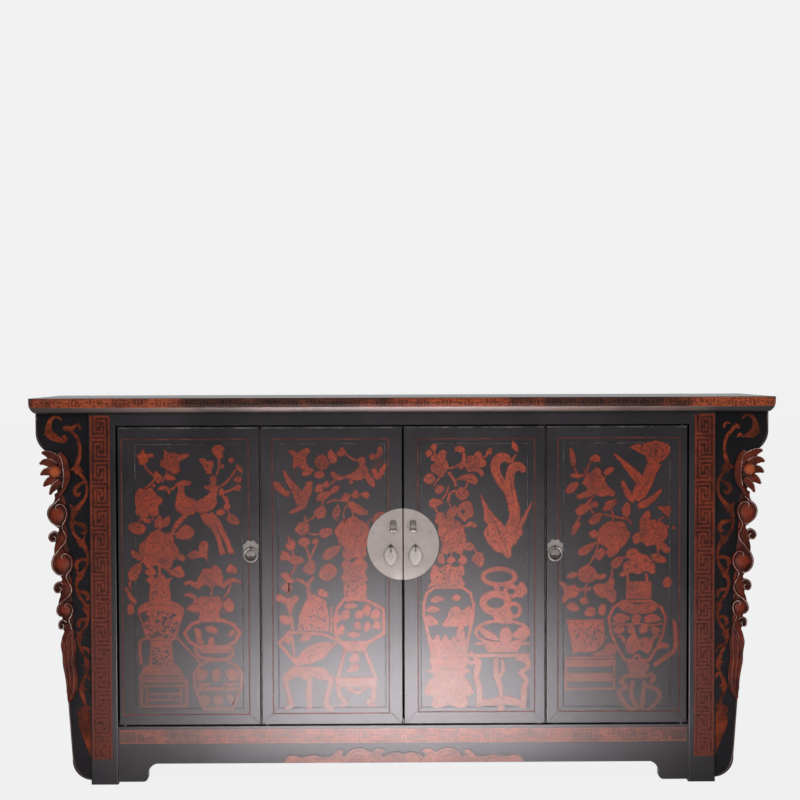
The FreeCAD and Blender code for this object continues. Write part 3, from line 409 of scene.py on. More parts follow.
groove = [line([(sign * x, z + 0.8) for x, z in half], 2.4) for sign in (-1.0, 1.0)]
groove += [line([(sign * x, z) for x, z in smooth(points)], 1.6)
           for sign in (-1.0, 1.0) for points in SCROLLS]
lay_paint("apron_cloud_outline", groove, face, MM, post_lacquer, "carcass", film=0.0026)

# Ends and back: framed panels of thin board in grooves, lacquered like the front
# but never painted.
finish(lacquer("end_lacquer", (6.0, 0.7, 6.0)), "left_end_rails", "right_end_rails")
panel_lacquer = lacquer("panel_lacquer", upright)
finish(panel_lacquer, "left_end_panel", "right_end_panel", "back_panel")


# Inside: mullions that stop the doors, a floor board, and a shelf on bearers, all
# of plain softwood under a thin dark stain that leaves the grain open.
def stained(name, along):
    """Softwood under a thin stain; along is the way of the grain."""
    material, tree, shader = coat(name, 0.6, 1.45)
    rubbed = placed(tree, hand_rubbed, Stretch=along, Size=4.0)
    place = add(tree, "TexCoord")
    scaled = add(tree, "VectorMath", {"operation": "MULTIPLY"})
    scaled.inputs[1].default_value = along
    grain = add(tree, "TexNoise", Scale=16.0, Detail=3.0, Roughness=0.5, Distortion=0.6)
    join(tree, place.outputs["Object"], scaled.inputs[0], scaled.outputs[0], grain.inputs["Vector"])
    open_grain = stretch(tree, grain.outputs["Fac"], 0.35, 0.68)
    tone = blend(tree, open_grain, (0.055, 0.028, 0.016), (0.12, 0.066, 0.036))
    stain = maths(tree, "MULTIPLY", stretch(tree, rubbed["Mark"], 0.55, 0.75), 0.6)
    tone = blend(tree, stain, tone, (0.03, 0.015, 0.01))
    join(tree, tone, shader.inputs["Base Color"])
    join(tree, stretch(tree, rubbed["Mark"], 0.3, 0.7, 0.5, 0.72), shader.inputs["Roughness"])
    raised(tree, shader, rubbed["Mark"], 0.25, 0.0012)
    return material


finish(stained("stained_upright", (7.0, 7.0, 0.5)), "mullions")
finish(stained("stained_lengthwise", (0.5, 7.0, 7.0)), "floor_board", "shelf")
finish(stained("stained_across", (7.0, 0.5, 7.0)), "shelf_bearers")

# Wings: tall shaped boards housed in the outer sides of the posts, which hold up
# the ends of the top. The front ones carry a painted vine.
wing_lacquer = lacquer("wing_lacquer", upright, edge_width=0.0022, keep=0.36, rub=(0.13, 0.075, 0.055),
                       shine=1.13, grey=(0.0070, 0.0060, 0.0074))
finish(wing_lacquer, *[side + "_" + end + "_wing" for end in ENDS for side in SIDES])


def stroke(points, steps=5):
    """Outline of one brush stroke; each point is (across, up, width)."""
    flow = smooth(points, steps)
    left, right = [], []
    for i, (u, v, width) in enumerate(flow):
        a, b = flow[max(i - 1, 0)], flow[min(i + 1, len(flow) - 1)]
        size = math.hypot(b[0] - a[0], b[1] - a[1]) * 2 / width
        left.append((u - (b[1] - a[1]) / size, v + (b[0] - a[0]) / size))
        right.append((u + (b[1] - a[1]) / size, v - (b[0] - a[0]) / size))
    return left + right[::-1]


VINE = (
    # flourish under the top
    ((824, 886, 3), (831, 893, 5), (841, 895, 7), (850, 889, 9), (855, 878, 12), (857, 865, 17),
     (853, 853, 21), (842, 845, 18), (830, 839, 12), (821, 836, 9), (815, 841, 8), (819, 848, 7),
     (825, 845, 4)),
    ((853, 860, 14), (862, 856, 9), (869, 851, 2)),
    ((818, 862, 3), (812, 868, 9), (808, 874, 3)),
    ((823, 866, 3), (816, 868, 10), (806, 866, 12), (795, 870, 9), (786, 877, 5), (781, 870, 7),
     (780, 863, 3)),
    ((806, 868, 8), (798, 856, 8), (788, 845, 8), (783, 830, 8), (781, 812, 7), (783, 796, 9),
     (787, 782, 8)),
    # stem that weaves down beside the post
    ((791, 782, 4), (789, 770, 14), (781, 757, 9), (770, 742, 7), (765, 722, 7), (768, 702, 7),
     (778, 686, 9), (793, 670, 13), (801, 652, 10), (803, 634, 8), (799, 615, 7), (790, 602, 8),
     (779, 590, 13), (770, 577, 10), (765, 560, 7), (766, 540, 7), (773, 524, 8), (784, 509, 13),
     (792, 494, 9), (792, 476, 7), (785, 458, 7), (775, 444, 8), (767, 428, 12), (765, 411, 8),
     (769, 393, 7), (779, 377, 8), (788, 361, 12), (788, 344, 8), (781, 326, 7), (773, 308, 8),
     (768, 291, 11), (770, 273, 7), (778, 254, 7), (783, 236, 11), (781, 219, 10), (776, 202, 7),
     (772, 188, 5)),
    # tendrils that curl off it
    ((772, 737, 6), (784, 731, 9), (793, 722, 11), (794, 710, 10), (786, 705, 7), (782, 713, 4)),
    ((802, 640, 6), (790, 637, 9), (777, 633, 11), (769, 622, 11), (773, 612, 7), (780, 616, 4)),
    ((766, 548, 6), (777, 549, 8), (789, 545, 10), (794, 534, 9), (788, 526, 5)),
    ((791, 470, 6), (780, 470, 8), (769, 466, 10), (764, 456, 8), (769, 450, 4)),
    ((766, 402, 6), (777, 403, 8), (786, 398, 10), (789, 388, 8), (783, 384, 4)),
    ((785, 335, 5), (774, 333, 8), (765, 327, 9), (763, 317, 4)),
    ((771, 268, 5), (763, 259, 8), (760, 249, 3)),
    # flame leaf at the foot
    ((768, 190, 5), (778, 184, 11), (788, 178, 9), (790, 167, 3)),
    ((768, 190, 5), (760, 183, 9), (754, 172, 3)),
    ((771, 186, 6), (774, 166, 26), (776, 146, 31), (772, 124, 25), (767, 102, 17), (763, 82, 9),
     (761, 66, 3)),
)
FLARE = ((0, 24), (-5, 8), (-19, -7), (-9, -5), (0, -16), (8, -6), (17, -11), (6, 7))
TUFTS = (
    (789, 771, 1.0, 0), (796, 668, 0.85, 35), (779, 590, 0.8, -25), (785, 509, 0.75, 30),
    (768, 428, 0.7, -25), (787, 361, 0.7, 25), (769, 291, 0.7, -20), (782, 236, 0.75, 10))
vine_paint = red_paint("vine_paint", (0.150, 0.027, 0.011), (0.045, 0.011, 0.006), (0.014, 0.006, 0.005),
                       keep=0.44, shine=1.08)
HANDS = (("left", -1.0), ("right", 1.0))
face = front_of("left_front_wing")
for side, sign in HANDS:
    groups = [[stroke([(sign * x, z, width) for x, z, width in points])] for points in VINE]
    for x, z, size, tilt in TUFTS:
        c, s = math.cos(math.radians(tilt)) * size, math.sin(math.radians(tilt)) * size
        groups.append(
            [smooth([(sign * (x - a * c + b * s), z + a * s + b * c) for a, b in FLARE], 4, True)])
    lay_paint(side + "_wing_vine", groups, face, MM, vine_paint, "carcass")

# A bead is cut along the outer edge of each front wing; a pale highlight is painted along it, worn thin in
# places
BEAD = (
    ((885.4, 903, 2.2), (885.4, 880, 2.2), (885.4, 858, 2.2), (881, 838, 2.2), (870, 820, 2.0)),
    ((813.5, 203, 2.0), (810.5, 150, 2.2), (806.5, 100, 2.2), (803.6, 64, 2.2), (797, 40, 2.2),
     (783, 21, 2.0), (764, 12.6, 1.6)))
bead_highlight = red_paint(
    "bead_highlight", (0.16, 0.11, 0.095), (0.050, 0.034, 0.030), (0.010, 0.008, 0.008), keep=0.48)
for side, sign in HANDS:
    groups = [[stroke([(sign * x, z, width) for x, z, width in points])] for points in BEAD]
    lay_paint(side + "_wing_bead", groups, face, MM, bead_highlight, "carcass", film=0.0009)

# Carvings: a lotus, a chain of cloud scrolls and a tassel, carved from one strip of
# wood and glued to the edge of each front wing; red lacquer, with pale highlights
# painted on the ridges and shade painted in the hollows.
# Points are (out from the middle, up, half width) in millimetres
BODY = (
    (826, 720, 7), (834, 704, 7), (837, 688, 9), (838, 676, 17), (836.5, 661, 22), (832, 642, 16),
    (824, 626, 10), (826, 604, 13), (833, 583, 11), (835, 571, 11), (828, 556, 18), (825.5, 541, 23.5),
    (821, 519, 14), (816, 504, 12), (816, 480, 15), (820, 459, 12), (822, 448, 14), (819, 429, 19),
    (814.5, 411, 14), (813, 391, 13), (813, 376, 12))
KNOBS = (((858, 605, 2), (855, 605, 7), (847, 605, 10.5), (836, 604, 10), (826, 604, 8)),
         ((846, 481, 2), (843, 481, 7), (835, 481, 11), (824, 481, 10), (815, 480, 8)),
         ((836, 391, 2), (833, 391, 6), (827, 391, 9), (816, 391, 9)))
RIMS = (
    # each scroll starts in its eye and runs over the top and down the outside of the next bend
    ((836, 669, 1.6), (840, 674, 2.2), (837, 682, 2.8), (826, 684, 3.1), (817, 676, 3.3),
     (813, 662, 3.3), (817, 646, 3.2), (824, 632, 3.0), (821, 619, 3.0), (815, 607, 3.0),
     (818, 592, 3.0), (829, 579, 3.0), (837, 568, 3.0), (845, 556, 3.1), (849, 541, 3.2),
     (846, 526, 3.0), (836, 515, 2.6), (824, 512, 2.2)),
    ((823, 551, 1.6), (827, 556, 2.2), (823, 563, 2.8), (813, 563, 3.1), (804, 554, 3.3),
     (801.5, 540, 3.3), (806, 525, 3.2), (815, 512, 3.0), (813, 500, 3.0), (805, 485, 3.0),
     (803.5, 473, 3.0), (812, 459, 3.0), (826, 448, 3.0), (835, 437, 3.0), (838, 423, 2.8),
     (830, 411, 2.2)),
    ((817, 433, 1.4), (820, 438, 2.0), (815, 443, 2.6), (806, 440, 2.8), (801, 429, 2.9),
     (804, 415, 2.8), (810, 404, 2.6), (806, 392, 2.6), (803, 379, 2.4)),
    ((829, 698, 2.2), (840, 688, 2.6), (853, 677, 3.0), (858, 662, 3.1), (853, 646, 2.9),
     (842, 635, 2.4), (829, 630, 2.0)),
    # small curls on the outer edge
    ((835, 613, 2.0), (842, 618, 2.5), (852, 613, 2.8), (856, 604, 2.8), (851, 595, 2.7),
     (842, 596, 2.4), (840, 603, 2.0), (845, 607, 1.5)),
    ((823, 490, 2.0), (830, 495, 2.5), (840, 491, 2.8), (844.5, 481, 2.8), (840, 471, 2.7),
     (831, 472, 2.4), (828, 479, 2.0), (833, 484, 1.5)),
    ((815.5, 398, 1.8), (822.5, 402, 2.3), (831, 400, 2.5), (834.5, 391.5, 2.5), (832, 382.5, 2.4),
     (825.5, 382.5, 2.1), (822.5, 390, 1.8), (826, 393, 1.4)),
)
PETALS = (
    # five outer petals, from the top round to the stem, then the two on the inner side
    ((826, 786, 6), (840, 797, 9.5), (854, 804, 9), (864, 808, 6), (872, 809, 2.6)),
    ((838, 779, 6), (852, 784, 9.5), (864, 786, 8.5), (871, 785, 5.5), (877, 782, 2.4)),
    ((842, 764, 6), (855, 764, 9.5), (865, 762, 8.5), (870, 759.5, 5.5), (875, 756, 2.4)),
    ((838, 750, 6), (850, 744, 9.5), (858, 738, 8.5), (864, 733, 5.5), (868, 728, 2.4)),
    ((829, 740, 6), (839, 730, 9), (846, 722, 7.5), (850, 715.5, 5), (853, 708, 2.4)),
    ((829, 808, 3.0), (820, 795, 6.5), (815, 777, 8), (812.5, 758, 8.4), (814, 741, 7.6), (820, 722, 5)),
    ((822, 772, 5), (828, 786, 6.5), (834, 800, 3.0)),
)
HEART = (
    ((833, 750, 3.5), (838, 759, 7.5), (845, 769, 3.5)),
    ((842, 748, 3.5), (847, 757, 7), (852, 767, 3)), ((827, 758, 3.5), (832, 768, 7), (841, 778, 3)))
PAD = ((812, 752, 8), (822, 756, 17), (834, 760, 20), (845, 763, 14), (854, 765, 6))
WEB = (
    (838, 712, 8), (832, 700, 12), (828, 684, 12), (826, 660, 12), (825, 625, 10), (823, 590, 10),
    (822, 565, 12), (819, 530, 10), (816, 500, 10), (814, 460, 10), (812, 420, 10), (810, 385, 9))
CALYX = ((818, 727, 4.2), (828, 710, 4.8), (838.5, 692, 4.2))
TASSELS = (
    ((812, 384, 5), (821, 362, 6.6), (823.5, 342, 7), (820, 318, 6.6), (819.5, 294, 6.6), (816, 272, 6),
     (813.5, 250, 5.4), (813, 225, 5), (814, 204, 2.6)),
    ((806, 384, 6), (812, 354, 7), (809, 331, 7.4), (811, 308, 7.4), (808, 284, 7.4), (805.5, 260, 7.4),
     (806, 236, 7), (810, 214, 5.6), (814, 201, 2.4)),
    ((803, 380, 5), (804, 354, 6), (799.5, 332, 6.2), (802, 311, 6.2), (801, 290, 6.4),
     (797.5, 264, 6.4), (798, 240, 6.2), (802, 222, 5), (808, 208, 2.4)),)
STRANDS = (
    ((813, 372, 1.5), (818, 352, 1.8), (815.5, 332, 1.8), (816, 308, 1.8), (813.5, 284, 1.8),
     (811, 260, 1.6), (811, 230, 1.4)),
    ((827, 356, 1.4), (829.5, 341, 1.8), (826, 317, 1.8), (825, 294, 1.8), (821, 271, 1.6),
     (818, 248, 1.4), (817, 224, 1.2)),
    ((806, 366, 1.4), (805, 342, 1.7), (804, 320, 1.7), (806, 298, 1.7), (802, 272, 1.7),
     (801, 246, 1.6), (805, 222, 1.2)),
    ((799, 360, 1.2), (794.5, 333, 1.6), (797.5, 311, 1.6), (795.5, 290, 1.6), (792.5, 264, 1.6),
     (793.5, 242, 1.4), (799, 222, 1.0)),)


def carve(points, depth, flat, sides=4):
    """A rounded ridge of wood along points (x, z, half width) in millimetres."""
    path = bpy.data.curves.new("ridge", "CURVE")
    path.dimensions = "3D"
    path.bevel_depth = 1.0
    path.bevel_resolution = sides
    path.use_fill_caps = True
    flow = smooth(points, 6)
    spline = path.splines.new("POLY")
    spline.points.add(len(flow) - 1)
    for point, (x, z, half) in zip(spline.points, flow):
        point.co = (x * MM, 0.0, z * MM, 1.0)
        point.radius = half * MM
    spline.use_smooth = True
    ridge = bpy.data.objects.new("ridge", path)
    ridge.scale = (1.0, flat, 1.0)
    ridge.location = (0.0, depth, 0.0)
    bpy.context.scene.collection.objects.link(ridge)
    return ridge


red_carving, tree, shader = coat("red_carving", 0.5, 1.12)
rubbed = placed(tree, hand_rubbed, Stretch=(1.0, 1.0, 1.0), Size=30.0)
surface = add(tree, "NewGeometry")
hollow = add(tree, "AmbientOcclusion", {"samples": 8}, Distance=0.014)
tone = blend(tree, stretch(tree, rubbed["Cloud"], 0.32, 0.68), (0.027, 0.005, 0.003), (0.082, 0.013, 0.005))
place = add(tree, "TexCoord")
mirrored = add(tree, "VectorMath", {"operation": "ABSOLUTE"})
join(tree, place.outputs["Object"], mirrored.inputs[0])
RIDGE = 0.217  # how far forward the ridges of the carving stand
# The carving is lighter round the heart of the lotus and round the middle of three scrolls
LIGHTER_SPOTS = ((0.841, 0.763, 0.017, (0.25, 0.054, 0.016)), (0.836, 0.660, 0.020, (0.125, 0.018, 0.007)),
           (0.825, 0.541, 0.020, (0.125, 0.018, 0.007)), (0.819, 0.429, 0.016, (0.115, 0.017, 0.007)))
for x, z, size, lighter in LIGHTER_SPOTS:
    away = add(tree, "VectorMath", {"operation": "DISTANCE"})
    away.inputs[1].default_value = (x, RIDGE, z)
    join(tree, mirrored.outputs[0], away.inputs[0])
    tone = blend(tree, stretch(tree, away.outputs["Value"], size, size * 0.4), tone, lighter)
# Painted shade: darker in the hollows of the carving, where less light reaches
tone = blend(tree, stretch(tree, hollow.outputs["AO"], 0.86, 0.42), tone, (0.006, 0.003, 0.003))
# Painted highlight: pale lines on the sharp ridges of the carving, broken up in patches
ridge = maths(tree, "MULTIPLY", stretch(tree, surface.outputs["Pointiness"], 0.54, 0.61),
              stretch(tree, rubbed["Mark"], 0.35, 0.6))
tone = blend(tree, maths(tree, "MULTIPLY", ridge, 0.75), tone, (0.50, 0.36, 0.30))
join(tree, tone, shader.inputs["Base Color"])
join(tree, stretch(tree, rubbed["Mark"], 0.3, 0.7, 0.40, 0.56), shader.inputs["Roughness"])
raised(tree, shader, rubbed["Mark"], 0.2, 0.0008)

# Pale paint for strips along the crests of the scrolls and the outer edges of the petals: painted
# highlights
crest_highlight = red_paint("crest_highlight", (0.52, 0.42, 0.37), (0.17, 0.085, 0.062), (0.045, 0.012, 0.008),
                      keep=0.52, shine=1.2, size=40.0)


def petal_edge(points):
    """The rim of a petal, just inside its outline."""
    return stroke([(x, z, half * 1.8) for x, z, half in points], 4)


PETAL_STEP = 0.0007  # how much higher each petal lies than the one under it
sheet = -0.2075  # ground of the carving, just off the face of the wing
for side, sign in HANDS:
    ridges = []

    def cut(points, depth, flat):
        ridges.append(carve([(sign * x, z, half) for x, z, half in points], depth, flat))

    cut(BODY, sheet - 0.003, 0.36)
    cut(PAD, sheet - 0.001, 0.14)
    cut(WEB, sheet + 0.001, 0.16)
    for points in KNOBS:
        cut(points, sheet - 0.003, 0.45)
    for points in RIMS:
        cut(points, sheet - 0.0095, 1.0)
        cut(points, sheet - 0.006, 1.2)
    for number, points in enumerate(PETALS):
        lift = PETAL_STEP * (number % 3)
        cut(points, sheet - 0.0045 - lift, 0.42)
        edge = petal_edge(points)
        cut([(x, z, 1.2) for x, z in edge + edge[:2]], sheet - 0.0070 - lift, 1.3)
    for points in HEART:
        cut(points, sheet - 0.0090, 0.75)
    cut(CALYX, sheet - 0.006, 1.0)
    for points in TASSELS:
        cut(points, sheet - 0.003, 0.85)
    for points in STRANDS:
        cut(points, sheet - 0.0078, 1.2)
    carving = one_mesh(ridges, side + "_lotus_chain")
    remesh = carving.modifiers.new("one_piece", "REMESH")
    remesh.mode = "VOXEL"
    remesh.voxel_size = 0.0013
    bpy.ops.object.modifier_apply(modifier="one_piece")
    soften = carving.modifiers.new("soften", "SMOOTH")
    soften.factor = 0.5
    soften.iterations = 3
    bpy.ops.object.modifier_apply(modifier="soften")
    bpy.ops.object.shade_smooth()
    cover(carving, red_carving)
    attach(carving, "carcass")
    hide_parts(side + "_wing_carving")
    # The crests: pale strips painted as highlights along the rims and the petal edges
    crests = [(points, sheet - 0.0119) for points in RIMS]
    for number, points in enumerate(PETALS):
        edge = petal_edge(points)
        outer = [(x, z, 1.0) for x, z in edge[:len(edge) // 2]]
        crests.append((outer, sheet - 0.0078 - PETAL_STEP * (number % 3)))
    ridges = [carve([(sign * x, z, 0.72) for x, z, half in points], depth, 1.0, 2)
              for points, depth in crests]
    crest = one_mesh(ridges, side + "_lotus_chain_crests")
    cover(crest, crest_highlight)
    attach(crest, "carcass")

# Top: a mitred frame with a moulded edge round a flush panel, on battens. The
# upright part of the edge has a red fret; the hollow under it is painted pale as a
# highlight, strongest in the middle and broken up in patches.
HOLLOW_HIGH = 0.9165  # upper end of the hollow under the edge
BAND_LOW = 0.9185  # lower end of the painted band
top_lacquer, tree, shader = coat("top_lacquer", 0.36, 1.26)
rubbed = placed(tree, hand_rubbed, Stretch=lengthwise, Size=5.0)
edges = placed(tree, worn_edges, Width=0.002, Patch_Size=20.0, Keep=0.36)
cloud = stretch(tree, rubbed["Cloud"], 0.35, 0.7)
ground = blend(tree, cloud, (0.004, 0.004, 0.005), (0.011, 0.010, 0.011))
level = height(tree)
place = add(tree, "TexCoord")
parts = add(tree, "SeparateXYZ")
join(tree, place.outputs["Object"], parts.inputs[0])
# Painted highlight: a pale band in the hollow under the edge, strongest in the middle of the front
middle = stretch(tree, maths(tree, "ABSOLUTE", parts.outputs["X"], 0.0), 0.88, 0.50, 0.15, 1.0)
pale_band_highlight = maths(
    tree, "MULTIPLY", stretch(tree, level, 0.9045, 0.908), stretch(tree, level, BAND_LOW, HOLLOW_HIGH))
pale_band_highlight = maths(tree, "MULTIPLY", pale_band_highlight, stretch(tree, rubbed["Cloud"], 0.28, 0.52, 0.35, 1.0))
pale_band_highlight = maths(tree, "MULTIPLY", pale_band_highlight, middle)
ground = blend(tree, maths(tree, "MULTIPLY", pale_band_highlight, 0.6), ground, (0.23, 0.135, 0.11))
ground = blend(tree, maths(tree, "MULTIPLY", edges["Mask"], 0.5), ground, (0.07, 0.045, 0.04))
join(tree, ground, shader.inputs["Base Color"])
join(tree, stretch(tree, rubbed["Mark"], 0.3, 0.7, 0.26, 0.34), shader.inputs["Roughness"])
join(tree, stretch(tree, level, HOLLOW_HIGH, BAND_LOW, 0.85, 0.5), shader.inputs["Specular IOR Level"])
raised(tree, shader, rubbed["Mark"], 0.10, 0.0008)
finish(top_lacquer, "top_front_rail", "top_back_rail", "top_left_rail", "top_right_rail", "top_panel")
finish(stained("stained_battens", (7.0, 0.5, 7.0)), "top_battens")

# The paint is laid upright, cut across at a few heights, and bent back with the moulding
MOULDING_HIGH = 0.927  # where the edge starts to round back
MOULDING_ROUND = 0.02804  # radius of that rounding
wash_rows = [block(-898.0, 898.0, 917.0, 938.5)]
fret_rows = fret(-897.0, 897.0, 918.5, 937.0, cell=45.0, gap=8.0, width=2.6)
worn_fret = red_paint("worn_fret", (0.270, 0.056, 0.021), (0.050, 0.017, 0.011), (0.012, 0.007, 0.006),
                      keep=0.46, size=7.0, patch=(0.44, 0.62))
worn_wash = red_paint("worn_wash", (0.130, 0.028, 0.013), (0.015, 0.008, 0.007), (0.007, 0.005, 0.006),
                      keep=0.46, size=7.0, patch=(0.44, 0.62))
face = front_of("top_front_rail")
for name, groups, paint, film in (("top_edge_wash", wash_rows, worn_wash, 0.00002),
                                  ("top_edge_fret", fret_rows, worn_fret, 0.00004)):
    piece = lay_paint(name, groups, face, MM, paint, "carcass", film, step=0.000001)
    bpy.ops.object.select_all(action="DESELECT")
    piece.select_set(True)
    bpy.context.view_layer.objects.active = piece
    bpy.ops.object.mode_set(mode="EDIT")
    for level in (BAND_LOW, 0.9205, 0.9225, 0.925, MOULDING_HIGH):
        bpy.ops.mesh.select_all(action="SELECT")
        bpy.ops.mesh.bisect(plane_co=(0.0, 0.0, level), plane_no=(0.0, 0.0, 1.0))
    bpy.ops.object.mode_set(mode="OBJECT")
    for corner in piece.data.vertices:
        drop = max(MOULDING_HIGH - corner.co.z, 0.0)
        corner.co.y += MOULDING_ROUND - math.sqrt(MOULDING_ROUND ** 2 - drop ** 2)

# Doors: four mitred frames, each flush with its panel, turning on wooden pivots.
# A thin red line runs round each one; the joint of frame and panel is drawn as a dark line
# with a painted grey highlight beside it, and a grey highlight is painted along each top edge.
door_lacquer = lacquer("door_lacquer", upright, edge_width=0.0014, keep=0.44)
DOORS = ("left_outer", "left_inner", "right_inner", "right_outer")
WOOD = ("hinge_stile", "free_stile", "rails", "panel")
for door in DOORS:
    finish(door_lacquer, *[door + "_door_" + piece for piece in WOOD])


def door_corner(door):
    """Lower left corner of a door's face; the hinge stile runs on into the pivots below it."""
    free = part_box(door + "_door_free_stile")[0]
    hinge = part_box(door + "_door_hinge_stile")[0]
    return (min(free[0], hinge[0]), free[1], free[2])


# Pictures and their border lines are drawn on squares of this size, from that corner
UNIT = 0.00243
line_paint = red_paint(
    "line_paint", (0.11, 0.030, 0.021), (0.045, 0.015, 0.012), (0.012, 0.008, 0.008), keep=0.44)
BORDERS = {"left_outer": (3.8, 130.0, 10.5, 286.0), "left_inner": (11.3, 127.3, 11.0, 285.8),
           "right_inner": (14.0, 130.5, 12.0, 285.8), "right_outer": (11.5, 133.3, 11.8, 286.2)}
for door, (left, right, low, high) in BORDERS.items():
    corners = [(left, low), (right, low), (right, high), (left, high)]
    lay_paint(
        door + "_line", [line(corners, 1.3, True)], door_corner(door), UNIT, line_paint, door + "_door")
# Grey for painted highlights beside the joints and along the top edges
grey_highlight = red_paint(
    "grey_highlight", (0.110, 0.102, 0.102), (0.022, 0.020, 0.020), (0.004, 0.004, 0.004), keep=0.50)
joint_dark = red_paint(
    "joint_dark", (0.003, 0.003, 0.003), (0.001, 0.001, 0.001), (0.001, 0.001, 0.001), keep=0.40)
JOINT_FILM = 0.00014  # thickness of the marks along the joints
WIDE = 342.0  # width of a door
TALL = 725.0  # height of a door
MITRE_NEAR = 2.0  # from the panel's corner to the start of the mitre line
MITRE_FAR = 38.0  # and to its end
for door in DOORS:
    corner = door_corner(door)
    # Each joint of frame and panel gets a dark line, and a grey line beside it painted as a highlight
    for name, inset, width, paint in (("_joint", 40.4, 1.0, joint_dark),
                                      ("_joint_highlight", 41.8, 1.3, grey_highlight)):
        right, high = WIDE - inset, TALL - inset
        frame_line = [(inset, inset), (right, inset), (right, high), (inset, high)]
        groups = [line(frame_line, width, True)]
        for u, v in frame_line:
            across, up = math.copysign(1.0, u - WIDE / 2), math.copysign(1.0, v - TALL / 2)
            mitre = [(u + across * away, v + up * away) for away in (MITRE_NEAR, MITRE_FAR)]
            groups.append(line(mitre, width * 0.7))
        lay_paint(door + name, groups, corner, MM, paint, door + "_door", JOINT_FILM)
    # A grey highlight is painted along the top edge of each door
    rub = [block(2.0, WIDE - 2.0, 720.6, 723.6)]
    lay_paint(door + "_top_edge_highlight", rub, corner, MM, grey_highlight, door + "_door", JOINT_FILM)


# Paintings: vases, flowering branches and birds, the common hundred antiques of such
# cupboards, brushed on each door in thick vermilion; petals, veins and pot patterns are
# drawn into it in a darker red, and the black is left or touched in between.
def turned(points, u, v, angle):
    """Points turned by an angle and moved to u, v."""
    c, s = math.cos(math.radians(angle)), math.sin(math.radians(angle))
    return [(u + c * a - s * b, v + s * a + c * b) for a, b in points]


def dot(u, v, size, high=None):
    """A filled dot, round or oval."""
    high = high or size
    turns = [k * 0.6283 for k in range(10)]
    return [[[(u + size * math.cos(turn), v + high * math.sin(turn)) for turn in turns]]]


def dots(*rows):
    return [group for row in rows for group in dot(*row)]


def rough(points, amount):
    """The same edge as an uneven brush leaves it."""
    return [(u + chance.uniform(-amount, amount), v + chance.uniform(-amount, amount)) for u, v in points]


def dabs(*rows):
    """Filled shapes with a flowing edge, each from a row of points."""
    return [[rough(smooth(row, 4, True), 0.5)] for row in rows]


def sharp(*points):
    """A filled shape with straight edges."""
    return [[list(points)]]


def sweeps(*rows):
    """Brush strokes; each row holds points with the width of the brush."""
    return [[rough(stroke(row), 0.3)] for row in rows]


def outline(width, *points):
    """A closed line of even width."""
    return [line(list(points), width, True)]


def rule(width, *points):
    """An open line of even width."""
    return [line(list(points), width)]


def ring(u, v, wide, high, width):
    """An oval line of even width."""
    angles = [2 * math.pi * k / 28 for k in range(28)]
    return [line([(u + wide * math.cos(a), v + high * math.sin(a)) for a in angles], width, True)]


def petals(u, v, wide, high):
    """The drawing in a full flower: curved edges of petals, in three uneven rings."""
    strokes = []
    for reach, count in ((0.28, 3), (0.52, 6), (0.78, 9)):
        start = chance.uniform(0.0, 6.28)
        for k in range(count):
            middle = start + 2 * math.pi * (k + chance.uniform(-0.3, 0.3)) / count
            half = math.pi / count * chance.uniform(0.5, 0.9)
            lean = chance.uniform(-0.10, 0.10)
            row = []
            for step in range(5):
                a = middle - half + half * step / 2
                out = reach * (0.80 + 0.22 * math.sin(math.pi * step / 4)) + lean * (step - 2) / 2
                brush = 0.35 + 0.55 * math.sin(math.pi * step / 4)
                row.append((u + wide * out * math.cos(a), v + high * out * math.sin(a), brush))
            strokes.append(row)
    return sweeps(*strokes)


def veins(*rows):
    """A dark line down the middle of a leaf, from u, v to u, v."""
    return sweeps(*[((a, b, 0.3), ((a + c) / 2 + 0.4, (b + d) / 2 + 0.4, 0.75), (c, d, 0.3))
                    for a, b, c, d in rows])


def stems(*rows):
    """Thin branches between the flowers, from u, v to u, v."""
    branches = []
    for a, b, c, d in rows:
        bend = ((a + c) / 2 + 0.08 * (d - b), (b + d) / 2 - 0.08 * (c - a), 1.5)
        branches.append(((a, b, 1.0), bend, (c, d, 1.0)))
    return sweeps(*branches)


def speckle(count, corners, low, high):
    """Uneven dark touches inside a four-sided field."""
    groups = []
    while len(groups) < count:
        s, t = chance.random(), chance.random()
        (a, b), (c, d), (e, f), (g, h) = corners
        u = (a + (c - a) * s) * (1 - t) + (g + (e - g) * s) * t
        v = (b + (d - b) * s) * (1 - t) + (h + (f - h) * s) * t
        size = chance.uniform(low, high)
        turns = [k * 1.047 for k in range(6)]
        touch = [(size * math.cos(turn) * chance.uniform(0.7, 1.3), size * 0.75 * math.sin(turn))
                 for turn in turns]
        groups.append([turned(touch, u, v, chance.uniform(0.0, 180.0))])
    return groups


def full_pot(u, profile):
    """A filled pot from its half widths at falling heights."""
    return [[[(u + half, v) for half, v in profile] + [(u - half, v) for half, v in profile[::-1]]]]


def pot(u, profile, width=2.4):
    """Only the outline of such a pot."""
    return [line(full_pot(u, profile)[0][0], width, True)]


